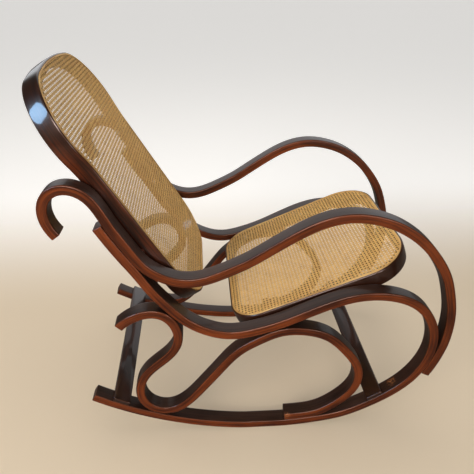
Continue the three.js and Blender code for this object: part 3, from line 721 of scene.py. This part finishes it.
def half_width_inside(along):
    """Half of the clear width between the splayed frames at a place along the chair."""
    face = frame_spacing / 2 + along * math.tan(frame_splay)
    return face - strip_width / 2 / math.cos(frame_splay)


def mirrored_corners(length, near_half, far_half):
    """A tapered outline's corners, as far to the left of its middle line as to the right."""
    return np.array([[0, -near_half], [length, -far_half], [length, far_half], [0, near_half]])


def seat_half_width(along_slope):
    """Half of the seat's width: the clear width between the rails, less a room that narrows
    evenly to the front."""
    room = seat_rear_room + (seat_front_room - seat_rear_room) * along_slope / seat_length
    return half_width_inside(seat_origin[0] + along_slope * seat_heading[0]) - room


def back_half_width(along_slope):
    """Half of the back's width: straight past both screws, opening evenly above the waist."""
    upper = half_width_inside(upper_back_screw[0]) - back_upper_room
    lower = half_width_inside(lower_back_screw[0]) - back_lower_room
    straight = upper + (lower - upper) * (along_slope - back_above_upper_screw) / screw_span
    return straight + max(back_waist - along_slope, 0) * math.tan(back_flare)


rear_seat_screw = placed(loop_rear_seat_screw_shares)[0]
front_seat_screw = placed(loop_front_seat_screw_shares)[0]
seat_heading = unit(front_seat_screw - rear_seat_screw)
seat_origin = (rear_seat_screw - seat_behind_rear_screw * seat_heading
               + seat_rise * left_of(seat_heading))
seat_plane = FacePlane(seat_origin, seat_heading)
seat_outline = rounded_outline(
    mirrored_corners(seat_length, seat_half_width(0), seat_half_width(seat_length)),
    [seat_rear_corner_radius, seat_front_corner_radius,
     seat_front_corner_radius, seat_rear_corner_radius],
)

upper_back_screw = back_screw_place("upper")
lower_back_screw = back_screw_place("lower")
back_heading = unit(lower_back_screw - upper_back_screw)
back_origin = (upper_back_screw - back_above_upper_screw * back_heading
               + back_setback * left_of(back_heading))
back_plane = FacePlane(back_origin, back_heading)
screw_span = np.linalg.norm(lower_back_screw - upper_back_screw)
back_length = back_above_upper_screw + screw_span + back_below_lower_screw
back_waist = back_above_upper_screw - back_waist_over_screw


def back_corners_and_radii():
    """The back's outline: a crown between two shoulders, the waist and the foot. The shoulders'
    arcs start where the bend of the waist ends, and the crown's takes nearly all that they
    leave."""
    places = [back_crown_rise, back_waist, back_length]
    halves = [back_half_width(place) for place in places]
    right_side = [[place, -half] for place, half in zip(places, halves)]
    left_side = [[place, half] for place, half in zip(places[::-1], halves[::-1])]
    waist_reach = back_waist_radius * math.tan(back_flare / 2)
    shoulder_reach = (back_waist - back_crown_rise) / math.cos(back_flare) - waist_reach
    crown_slope = math.atan(back_crown_rise / halves[0])
    crown_reach = halves[0] / math.cos(crown_slope) - shoulder_reach - back_crown_straight
    shoulder_corner = math.pi / 2 + crown_slope - back_flare
    side_radii = [shoulder_reach * math.tan(shoulder_corner / 2), back_waist_radius,
                  halves[2] - back_foot_straight / 2]
    return (np.array([[0, 0]] + right_side + left_side),
            [crown_reach / math.tan(crown_slope)] + side_radii + side_radii[::-1])


back_outline = rounded_outline(*back_corners_and_radii())


# Cane

def crossings(outline, direction, offsets):
    """Where straight strands meet an outline. A strand is all points whose share along the left
    of its direction is its offset; its start and end are the least and greatest lengths along
    the direction at which it crosses the outline."""
    across = left_of(direction)
    following = np.roll(outline, -1, axis=0)
    here = outline @ across - offsets[:, None]
    there = following @ across - offsets[:, None]
    crossed = (here < 0) != (there < 0)
    share = np.where(crossed, here / np.where(crossed, here - there, 1), 0)
    along = outline @ direction + share * ((following - outline) @ direction)
    starts = np.where(crossed, along, np.inf).min(axis=1)
    ends = np.where(crossed, along, -np.inf).max(axis=1)
    return starts, ends


def strand_skin(plane, outline, direction, offsets, node_steps, node_lifts, width, number):
    """Woven strands over a face, as flat ribbons with a ridge. Along each strand the height is
    read from a repeating list of nodes; the strands stop at the outline and sink with the
    sheet's sag, which is a parabola along the face times one across it."""
    starts, ends = crossings(outline, direction, offsets)
    kept = ends - starts > cane_pitch
    offsets, starts, ends = offsets[kept], starts[kept], ends[kept]
    period = cane_pitch / abs(direction).max()
    cycles = np.arange(math.floor(starts.min() / period) - 1, math.ceil(ends.max() / period) + 1)
    nodes = (cycles[:, None] + node_steps).ravel() * period
    lifts = np.tile(node_lifts, len(cycles)) * cane_wave
    lengths = np.clip(nodes, starts[:, None], ends[:, None])
    across = left_of(direction)
    middle = lengths[..., None] * direction + offsets[:, None, None] * across
    span = np.ptp(outline, axis=0) / 2
    centre = (outline.max(0) + outline.min(0)) / 2
    sag = cane_sag * np.clip(1 - ((middle - centre) / span) ** 2, 0, 1).prod(axis=-1)
    height = lifts - sag - cane_strand_height
    shifts = np.array([-width / 2, 0, width / 2])
    spots = middle[:, :, None] + shifts[:, None] * across
    heights = height[..., None] + [0, cane_strand_height, 0]
    places = plane.places(*np.moveaxis(spots, -1, 0), heights)
    strands = strand_stride * np.arange(len(offsets))[:, None, None] + layer_stride * number
    channels = with_grain(places, lengths[..., None], strands, shifts)
    return ribbons(channels, np.diff(lengths, axis=1) > ribbon_gap)


def ribbons(channels, used):
    """Skins ribbons of three points a station: three quads between stations that lie apart, and a
    triangle at each end."""
    count, stations = channels.shape[:2]
    index = np.arange(count * stations * 3).reshape(count, stations, 3)
    turn = np.roll(index, -1, axis=2)
    quads = np.stack([index[:, :-1], turn[:, :-1], turn[:, 1:], index[:, 1:]], axis=-1)
    quads = quads[used].reshape(-1, 4)
    first = np.argmax(used, axis=1)
    last = stations - 1 - np.argmax(used[:, ::-1], axis=1)
    rows = np.arange(count)
    tris = np.vstack([index[rows, first][:, ::-1], index[rows, last]])
    points = channels.reshape(-1, channels.shape[-1])
    named, fresh = np.unique(np.concatenate([quads.ravel(), tris.ravel()]), return_inverse=True)
    return points[named], fresh[:quads.size].reshape(-1, 4), fresh[quads.size:].reshape(-1, 3)


def cane_skins(plane, outline):
    """The three layers of an octagonal weave: pairs lengthways, pairs crossways and diagonals.
    The two strands of a pair pass over and under the crossing pair in turn; one diagonal passes
    under the lengthways pairs and over the crossways ones, the other does the opposite."""
    points, inwards, _ = outline
    edge = points + inwards * (hoop_rim_width + spline_width / 2)
    half = cane_pair_spacing / 2 / cane_pitch
    reach = int(np.abs(edge).max() / cane_pitch) + 2
    rows = np.arange(-reach, reach)
    layers = {}
    for layer, direction in (("lengthways", np.array([1.0, 0])), ("crossways", np.array([0, 1.0]))):
        layers[layer] = joined([
            strand_skin(plane, edge, direction, (rows + sign * half) * cane_pitch,
                        [-half, half, 0.5], [sign, -sign, 0], cane_strand_width,
                        2 * len(layers) + strand)
            for strand, sign in enumerate((-1, 1))])
    offsets = (np.arange(-4 * reach, 4 * reach) + 0.5) * cane_pitch / math.sqrt(2)
    dip = cane_diagonal_lift
    layers["diagonals"] = joined([
        strand_skin(plane, edge, unit(np.array([1.0, sign])), offsets, [0, 0.25, 0.5, 0.75],
                    [-dip * sign, 0, dip * sign, 0], cane_diagonal_width,
                    2 * len(layers) + strand)
        for strand, sign in enumerate((1, -1))])
    return layers


# Boards, spacers and screws

def board_skin(plane, corners, number):
    """A flat board: rings of its rounded outline, inset by a quarter circle at both edges."""
    outline = rounded_outline(corners, [stretcher_corner_radius] * len(corners))
    sideways, down = quarter_circle(stretcher_easing)
    insets = np.concatenate([sideways, down])
    heights = np.concatenate([-down, sideways - stretcher_thickness])
    edge = np.tile(np.sin(np.linspace(0, math.pi, arc_points)), 2)
    rings = carried_round(plane, outline, np.stack([insets, heights], axis=-1), edge, number)
    return closed_rings(np.swapaxes(rings, 0, 1))


def stretcher(name, length, number):
    """A board across both rockers, let into their tops, with its ends cut to the splay."""
    points, normals = loop.at([length])
    up = -normals[0]
    heading = -left_of(up)
    top = strip_thickness / 2 - stretcher_let_in + touch_gap + stretcher_thickness
    origin = points[0] + up * top
    half = stretcher_width / 2
    ends = [half_width_inside(origin[0] + sign * half * heading[0])
            + strip_width / math.cos(frame_splay) - stretcher_end_inset for sign in (-1, 1)]
    corners = mirrored_corners(stretcher_width, *ends) - [half, 0]
    skin = board_skin(FacePlane(origin, heading), corners, number)
    piece(f"{name}_board", skin, "dark_bentwood", [name])


def circles(radii, sides):
    """Across and along places of points at equal angles on circles, a row for each circle."""
    angles = np.linspace(0, 2 * math.pi, sides, endpoint=False)
    return radii[:, None] * np.cos(angles), radii[:, None] * np.sin(angles)


def turned_skin(centre, axis, across, along, heights, grain_start, edge=0.0):
    """A turned piece: circles of points set at heights along an axis. Both its ends are closed by
    a fan."""
    slant = [0.31, 0.52, 0.79]  # along no spacer and no screw
    side = unit(np.cross(axis, slant))
    other = np.cross(axis, side)
    places = (centre + heights[..., None] * axis + across[..., None] * side
              + along[..., None] * other)
    return closed_rings(with_grain(places, heights + grain_start, across, along, edge))


def spacer(side_name, place, number):
    """A turned wooden ring between the arm and the back's hoop. Its rims are quarter circles."""
    name = f"{side_name}_back_{place}_spacer"
    turn = sides[side_name] * frame_splay
    axis = np.array([-math.sin(turn), math.cos(turn), 0])
    points = node_points(name)
    centre = (points.min(0) + points.max(0)) / 2
    half = np.ptp((points - centre) @ axis) / 2
    sideways, down = quarter_circle(spacer_easing)
    radii = spacer_radius - np.concatenate([sideways, sideways[::-1]])
    heights = np.concatenate([down - half, (half - down)[::-1]])[:, None]
    across, along = circles(radii, spacer_sides)
    skin = turned_skin(centre, axis, across, along, heights, piece_stride * number)
    piece(f"{name}_turning", skin, "dark_bentwood", [name])


def screw_place(name):
    """The middle of a screw's head, under it, the direction out of the wood and the shank's
    length. The direction is the long axis of the screw's own points, towards the end whose
    points lie wider."""
    points = np.unique(node_points(name).round(6), axis=0)
    centre = points.mean(0)
    axis = np.linalg.svd(points - centre)[2][0]
    heights = (points - centre) @ axis
    spread = np.linalg.norm(points - centre - heights[:, None] * axis, axis=1)
    is_head = spread > (screw_radius + screw_head_radius) / 2
    if heights[is_head].mean() < 0:
        axis, heights = -axis, -heights
    off_centre = points[is_head].mean(0) - centre
    rise = heights.max() - screw_head_height - off_centre @ axis
    return centre + off_centre + rise * axis, axis, np.ptp(heights) - screw_head_height


def screw_skin(name, number):
    """A screw: a shank, and a domed head whose top is a polar grid sunk by a cross recess. The
    dome is an ellipse over its rim. The recess is deepest in the middle and fades to the ends and
    sides of its arms."""
    under_head, axis, length = screw_place(name)
    head, height = screw_head_radius, screw_head_height
    dome = np.linspace(1, 0, dome_rings, endpoint=False)
    dome_heights = height * (dome_rim + (1 - dome_rim) * np.sqrt(1 - (dome_spread * dome) ** 2))
    radii = np.concatenate([[screw_tip_radius, screw_radius, screw_radius, head], head * dome])
    heights = np.concatenate([[-length, -length + screw_radius, 0, 0], dome_heights])
    across, along = circles(radii, screw_sides)
    from_arm = np.minimum(abs(across), abs(along)) / (recess_arm * head)
    from_middle = np.hypot(across, along) / (recess_reach * head)
    is_dome = (np.arange(len(radii)) >= len(radii) - dome_rings)[:, None]
    recess = is_dome * np.sqrt(np.clip(1 - from_arm, 0, 1)) * np.clip(1 - from_middle, 0, 1)
    sunk = heights[:, None] - recess * height * recess_depth
    return turned_skin(under_head, axis, across, along, sunk, number, np.clip(recess * 2, 0, 1))


# Materials

def feed(tree, target, inputs):
    """Links sockets to a node's inputs, or puts plain values there, by name or number."""
    for key, value in inputs.items():
        if isinstance(value, bpy.types.NodeSocket):
            tree.links.new(value, target.inputs[key])
        else:
            target.inputs[key].default_value = value


def node(tree, kind, inputs=None, **settings):
    """A node with its settings, and then its inputs."""
    made = tree.nodes.new(kind)
    for key, value in settings.items():
        setattr(made, key, value)
    feed(tree, made, inputs or {})
    return made


def math_node(tree, operation, *values):
    return node(tree, "ShaderNodeMath", dict(enumerate(values)), operation=operation).outputs[0]


def times(tree, first, second):
    return math_node(tree, "MULTIPLY", first, second)


def plus_some(tree, base, value, share):
    """A base value plus a share of another."""
    return math_node(tree, "ADD", base, times(tree, value, share))


def noise(tree, place, scales, detail=3.0, roughness=0.55):
    """Noise with its own scale along each axis."""
    scaled = node(tree, "ShaderNodeVectorMath", {0: place, 1: scales}, operation="MULTIPLY")
    return node(tree, "ShaderNodeTexNoise", {
        "Vector": scaled.outputs[0], "Scale": 1.0, "Detail": detail, "Roughness": roughness,
    }).outputs["Fac"]


def stretched(tree, value, low, high):
    """A value mapped from low..high to 0..1 with soft ends."""
    return node(tree, "ShaderNodeMapRange", {
        "Value": value, "From Min": low, "From Max": high,
    }, interpolation_type="SMOOTHSTEP").outputs[0]


def mixed(tree, share, first, second):
    """The first colour where the share is none, and the second where it is one."""
    return node(tree, "ShaderNodeMix", {"Factor": share, 6: first, 7: second},
                data_type="RGBA").outputs[2]


def marked(tree, color, mark_color, value, limits, strength):
    """A colour that goes some of the way to a mark's where a value runs from low to high."""
    share = times(tree, stretched(tree, value, *limits), strength)
    return mixed(tree, share, color, mark_color)


def object_place(tree):
    return tree.nodes.new("ShaderNodeTexCoord").outputs["Object"]


def axis_of(tree, vector, axis):
    return node(tree, "ShaderNodeSeparateXYZ", {"Vector": vector}).outputs[axis]


def shared_group(name, inputs, outputs):
    """An empty node group with named inputs and outputs, the sockets that its inputs give and the
    node that takes its results."""
    tree = bpy.data.node_groups.new(name, "ShaderNodeTree")
    for in_out, sockets in (("INPUT", inputs), ("OUTPUT", outputs)):
        for label, kind in sockets.items():
            tree.interface.new_socket(label, in_out=in_out, socket_type=f"NodeSocket{kind}")
    return tree, tree.nodes.new("NodeGroupInput").outputs, tree.nodes.new("NodeGroupOutput")


def grain_group():
    """Wood that follows the bend: slow streaks and fine pores, both long along the grain. Colour
    goes from dark to light with the streaks, and the pores darken it and make the height."""
    tree, given, result = shared_group("bent grain", {
        "Place": "Vector", "Light": "Color", "Dark": "Color", "Pores": "Float",
    }, {"Color": "Color", "Height": "Float", "Roughness": "Float"})
    place = given["Place"]
    streaks = noise(tree, place, (6.0, 300.0, 300.0), detail=4.0)
    cloud = noise(tree, place, (7.0, 22.0, 22.0), detail=2.0)
    pores = noise(tree, place, (45.0, 1500.0, 1500.0), detail=2.0, roughness=0.5)
    both = plus_some(tree, times(tree, streaks, 0.6), cloud, 0.4)
    body = mixed(tree, stretched(tree, both, 0.36, 0.64), given["Dark"], given["Light"])
    open_pores = stretched(tree, pores, 0.56, 0.72)
    feed(tree, result, {
        "Color": mixed(tree, times(tree, open_pores, given["Pores"]), body, pore_color),
        "Height": math_node(tree, "SUBTRACT", times(tree, streaks, 0.3), open_pores),
        "Roughness": plus_some(tree, 0.26, cloud, 0.16),
    })
    return tree


def wear_group():
    """Handling marks: rounded edges go to another colour, in patches."""
    tree, given, result = shared_group("handled edges", {
        "Place": "Vector", "Edge": "Float", "Color": "Color", "Edge Color": "Color",
        "Strength": "Float",
    }, {"Color": "Color", "Mask": "Float"})
    patches = noise(tree, given["Place"], (18.0, 90.0, 90.0))
    broken = times(tree, given["Edge"], stretched(tree, patches, 0.3, 0.62))
    share = times(tree, broken, given["Strength"])
    feed(tree, result, {
        "Color": mixed(tree, share, given["Color"], given["Edge Color"]), "Mask": broken,
    })
    return tree


def grain_place(tree):
    return node(tree, "ShaderNodeAttribute", attribute_name="grain").outputs["Vector"]


def edge_value(tree):
    return node(tree, "ShaderNodeAttribute", attribute_name="edge").outputs["Fac"]


def material(name):
    """A material, its tree, its shader and the bump node that feeds its normal."""
    made = bpy.data.materials.new(name)
    made.use_nodes = True
    tree = made.node_tree
    shader = tree.nodes["Principled BSDF"]
    bump = tree.nodes.new("ShaderNodeBump")
    feed(tree, shader, {"Normal": bump.outputs["Normal"]})
    return made, tree, shader, bump


def use_group(tree, group, inputs):
    return node(tree, "ShaderNodeGroup", inputs, node_tree=group).outputs


bent_grain = grain_group()
handled_edges = wear_group()


def between_heights(tree, low, high):
    """One between two heights over the floor and none elsewhere, with soft limits."""
    height = axis_of(tree, object_place(tree), "Z")
    soft = grip_soft_limit
    return times(tree, stretched(tree, height, low - soft, low + soft),
                 stretched(tree, height, high + soft, high - soft))


def scuffed(tree, color):
    """Spots where the lacquer is rubbed through, broken up by noise."""
    place = object_place(tree)
    ragged = stretched(tree, noise(tree, place, (240.0, 240.0, 240.0)), 0.42, 0.6)
    for spot, reach in scuff_spots:
        distance = node(tree, "ShaderNodeVectorMath", {0: place, 1: spot},
                        operation="DISTANCE").outputs["Value"]
        near = stretched(tree, distance, reach, reach * 0.3)
        share = times(tree, near, times(tree, ragged, scuff_strength))
        color = mixed(tree, share, color, scuff_color)
    return color


def lacquered_wood(name, stain, edge_color, edge_strength, coat, shaded_faces=None,
                   grip_limits=None):
    """Stained wood under gloss lacquer: grain, pores and handled edges under a clear coat. The
    stain tints what the wood mirrors, but not what a glancing ray sees. A strip's broad faces,
    the ones that are bent, may get darker tones than its sides: painted shade. The lacquer may
    be worn between two heights, where hands grip it, and its lighter red there is partly painted
    light on the hoops' sides."""
    made, tree, shader, bump = material(name)
    place = grain_place(tree)
    light, dark = stain
    feed(tree, shader, {"Coat Weight": coat, "Coat Roughness": 0.08, "Specular Tint": mirror_tint})
    if grip_limits:
        # Worn lacquer and painted light: a thinner coat and a lighter red between the grip heights
        grip_band_share = between_heights(tree, *grip_limits)
        light = mixed(tree, grip_band_share, light, grip_wear_and_light_color)
        coat_left = node(tree, "ShaderNodeMapRange", {
            "Value": grip_band_share, "To Min": coat, "To Max": grip_coat}).outputs[0]
        feed(tree, shader, {"Coat Weight": coat_left})
    # Painted shade: the broad, bent faces take the darker tones, and the sides keep the stain's
    if shaded_faces:
        across = math_node(tree, "ABSOLUTE", axis_of(tree, place, "Y"))
        lit_side_share = stretched(tree, across, *shaded_face_half_widths)
        light, dark = (mixed(tree, lit_side_share, *tones) for tones in zip(shaded_faces, stain))
    grain = use_group(tree, bent_grain, {
        "Place": place, "Light": light, "Dark": dark, "Pores": 0.55,
    })
    worn = use_group(tree, handled_edges, {
        "Place": place, "Edge": edge_value(tree), "Color": grain["Color"],
        "Edge Color": edge_color, "Strength": edge_strength,
    })
    feed(tree, shader, {
        "Base Color": scuffed(tree, worn["Color"]), "Roughness": grain["Roughness"],
    })
    feed(tree, bump, {"Height": grain["Height"], "Strength": 0.12, "Distance": 0.0004})
    return made


def cane_finish():
    """Split cane: each strand has its own tone, fine streaks along it and a node now and then."""
    made, tree, shader, bump = material("golden cane")
    place = grain_place(tree)
    tone = noise(tree, place, (3.0, 1.0, 0.0), detail=2.0)
    streaks = noise(tree, place, (60.0, 3.1, 1500.0), detail=2.0)
    knots = noise(tree, place, (26.0, 1.7, 0.0), detail=1.0)
    color = mixed(tree, stretched(tree, tone, 0.3, 0.7), *cane_tones)
    color = marked(tree, color, cane_streak_color, streaks, (0.4, 0.75), strength=0.4)
    color = marked(tree, color, cane_knot_color, knots, (0.66, 0.74), strength=0.6)
    feed(tree, shader, {"Base Color": color, "Roughness": plus_some(tree, 0.34, streaks, 0.2)})
    feed(tree, bump, {"Height": streaks, "Strength": 0.2, "Distance": 0.0002})
    return made


def reed_finish():
    """Peeled reed: pale, with long fibres."""
    made, tree, shader, bump = material("peeled reed")
    place = grain_place(tree)
    fibres = noise(tree, place, (14.0, 1400.0, 1400.0))
    tone = noise(tree, place, (9.0, 60.0, 60.0), detail=2.0)
    color = mixed(tree, stretched(tree, tone, 0.35, 0.65), *reed_tones)
    color = marked(tree, color, reed_fibre_color, fibres, (0.5, 0.75), strength=0.5)
    feed(tree, shader, {"Base Color": color, "Roughness": plus_some(tree, 0.4, fibres, 0.2)})
    feed(tree, bump, {"Height": fibres, "Strength": 0.3, "Distance": 0.0003})
    return made


def steel_finish():
    """Zinc-plated steel: soft mottling, and a darker, not metallic colour in the cross recess."""
    made, tree, shader, bump = material("plated steel")
    place = grain_place(tree)
    mottle = noise(tree, place, (900.0, 900.0, 900.0))
    recess_toned = use_group(tree, handled_edges, {
        "Place": place, "Edge": edge_value(tree), "Color": mixed(tree, mottle, *steel_tones),
        "Edge Color": dark_recess_color, "Strength": 0.8,
    })
    feed(tree, shader, {
        "Base Color": recess_toned["Color"], "Roughness": plus_some(tree, 0.25, mottle, 0.3),
        "Metallic": math_node(tree, "SUBTRACT", 1.0, recess_toned["Mask"]),
    })
    feed(tree, bump, {"Height": mottle, "Strength": 0.1, "Distance": 0.0001})
    return made


finishes = {
    "bentwood": lacquered_wood("mahogany bentwood", strip_stain, strip_edge_color,
                               edge_strength=0.25, coat=0.22, shaded_faces=shaded_face_tones),
    "dark_bentwood": lacquered_wood("walnut hoops", hoop_stain, hoop_edge_color,
                                    edge_strength=0.35, coat=1.0, grip_limits=grip_heights),
    "cane": cane_finish(),
    "reed_spline": reed_finish(),
    "steel": steel_finish(),
}


# The chair. The number given with a piece sets where in the wood it is cut from.

strip_lines = {"rail_and_rocker": loop, "arm": arm, "brace": brace}
for side_name, side in sides.items():
    for order, (part, line) in enumerate(strip_lines.items()):
        number = order + len(strip_lines) * (side + 1)
        piece(f"{side_name}_{part}_strip", strip_skin(line, side, number), "bentwood",
              [f"{side_name}_{part}"])
    for number, place in enumerate(("upper", "lower"), start=20):
        spacer(side_name, place, number)

for part, plane, outline, number in (("seat", seat_plane, seat_outline, 10),
                                     ("back", back_plane, back_outline, 12)):
    hoop_rings = carried_round(plane, outline, *hoop_profile(), number)
    piece(f"{part}_hoop_bend", closed_rings(hoop_rings, is_loop=True), "dark_bentwood",
          [f"{part}_hoop"])
    spline_rings = carried_round(plane, outline, *spline_profile(), number + 1)
    piece(f"{part}_spline_reed", closed_rings(spline_rings, is_loop=True), "reed_spline",
          [f"{part}_spline"])
    for layer, skin in cane_skins(plane, outline).items():
        piece(f"{part}_cane_{layer}", skin, "cane", [f"{part}_cane"])

stretcher("rear_stretcher", rocker_place(rear_stretcher_share), 16)
stretcher("front_stretcher", loop_place(loop_front_stretcher_shares), 17)

screws = [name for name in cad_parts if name.endswith("_screw")]
for number, name in enumerate(sorted(screws)):
    piece(f"{name}_head_and_shank", screw_skin(name, number), "steel", [name])


# Floor, lights and camera

def plain_floor():
    """A square sheet in the floor's plane, paler behind the chair. Seen straight, it is paler than
    it lights the chair, and mirrored it is darker."""
    half = floor_half_width
    mesh = bpy.data.meshes.new("floor_sheet")
    mesh.from_pydata([(-half, -half, 0), (half, -half, 0), (half, half, 0), (-half, half, 0)], [],
                     [(0, 1, 2, 3)])
    made, tree, shader, _ = material("pale floor")
    path = tree.nodes.new("ShaderNodeLightPath").outputs
    seen = path["Is Camera Ray"]
    behind = stretched(tree, axis_of(tree, object_place(tree), "Y"), *floor_fade)
    color_seen = mixed(tree, behind, floor_near, floor_far)
    unseen = mixed(tree, path["Is Glossy Ray"], floor_bounce, floor_mirrored)
    feed(tree, shader, {
        "Base Color": mixed(tree, seen, unseen, color_seen), "Roughness": 0.7,
        "Emission Color": color_seen, "Emission Strength": times(tree, seen, floor_glow),
    })
    mesh.materials.append(made)
    floor = in_scene("floor_sheet", mesh)


def softbox(name, place, aim, size, watts, tint, is_lighting=True, is_mirrored=True):
    """A rectangular lamp that faces a point. It may light the chair, show in its gloss or both."""
    lamp = bpy.data.lights.new(name, "AREA")
    lamp.shape = "RECTANGLE"
    lamp.size, lamp.size_y = size
    lamp.energy = watts
    lamp.color = tint
    holder = in_scene(name, lamp)
    holder.visible_diffuse = is_lighting
    holder.visible_glossy = is_mirrored
    holder.location = place
    holder.rotation_euler = (Vector(aim) - Vector(place)).to_track_quat("-Z", "Y").to_euler()


def studio_world():
    """Soft light from all round, and the pale studio itself where it is seen. The mirrored studio
    is pale behind the chair and dim everywhere else, by the ray's heading."""
    world = bpy.data.worlds.new("studio")
    world.use_nodes = True
    tree = world.node_tree
    heading = tree.nodes.new("ShaderNodeTexCoord").outputs["Generated"]
    behind = times(tree, stretched(tree, axis_of(tree, heading, "Y"), *behind_in_y),
                   stretched(tree, axis_of(tree, heading, "X"), *behind_in_x))
    mirrored = mixed(tree, behind, mirrored_front, mirrored_behind)
    path = tree.nodes.new("ShaderNodeLightPath").outputs
    soft = mixed(tree, path["Is Glossy Ray"], soft_light, mirrored)
    seen = math_node(tree, "MAXIMUM", path["Is Camera Ray"], path["Is Transmission Ray"])
    feed(tree, tree.nodes["Background"], {"Color": mixed(tree, seen, soft, studio_pale)})
    bpy.context.scene.world = world


def photo_camera():
    """The camera of the photograph: its place, its pitch and yaw, and its focal length, which is
    to the sensor's width as its length in pixels is to the photograph's."""
    data = bpy.data.cameras.new("photo_camera")
    data.sensor_width = sensor_width
    data.lens = sensor_width * photo_focal_length / photo_width
    data.clip_start = 0.05
    camera = in_scene("photo_camera", data)
    along, across, up = camera_place
    camera.location = (standing_x + along, across, up)
    camera.rotation_euler = (math.pi / 2 - camera_pitch, 0, -camera_yaw)
    bpy.context.scene.camera = camera


plain_floor()
softbox("overhead", (0.2, 0.4, 3.2), aim=(0, 0, 0.4), size=(3.0, 2.4), watts=36,
        tint=(1.0, 0.98, 0.96), is_mirrored=False)
softbox("front", (-2.0, -2.8, 1.6), aim=(0, 0, 0.45), size=(2.0, 1.6), watts=100,
        tint=(1.0, 0.93, 0.84), is_mirrored=False)
softbox("window", (-2.4, -1.35, 2.2), aim=(-0.35, -0.2, 0.8), size=(1.3, 1.0), watts=60,
        tint=(0.36, 0.64, 1.0), is_lighting=False)
softbox("rim", (-0.6, -3.2, 2.6), aim=(0, 0, 0.45), size=(1.8, 1.5), watts=110,
        tint=(1.0, 0.88, 0.86), is_lighting=False)
softbox("low rim", (1.5, -3.0, 1.0), aim=(-0.4, -0.2, 0.8), size=(0.9, 1.1), watts=28,
        tint=(1.0, 0.88, 0.86), is_lighting=False)
studio_world()
photo_camera()
bpy.context.scene.view_settings.view_transform = "Standard"
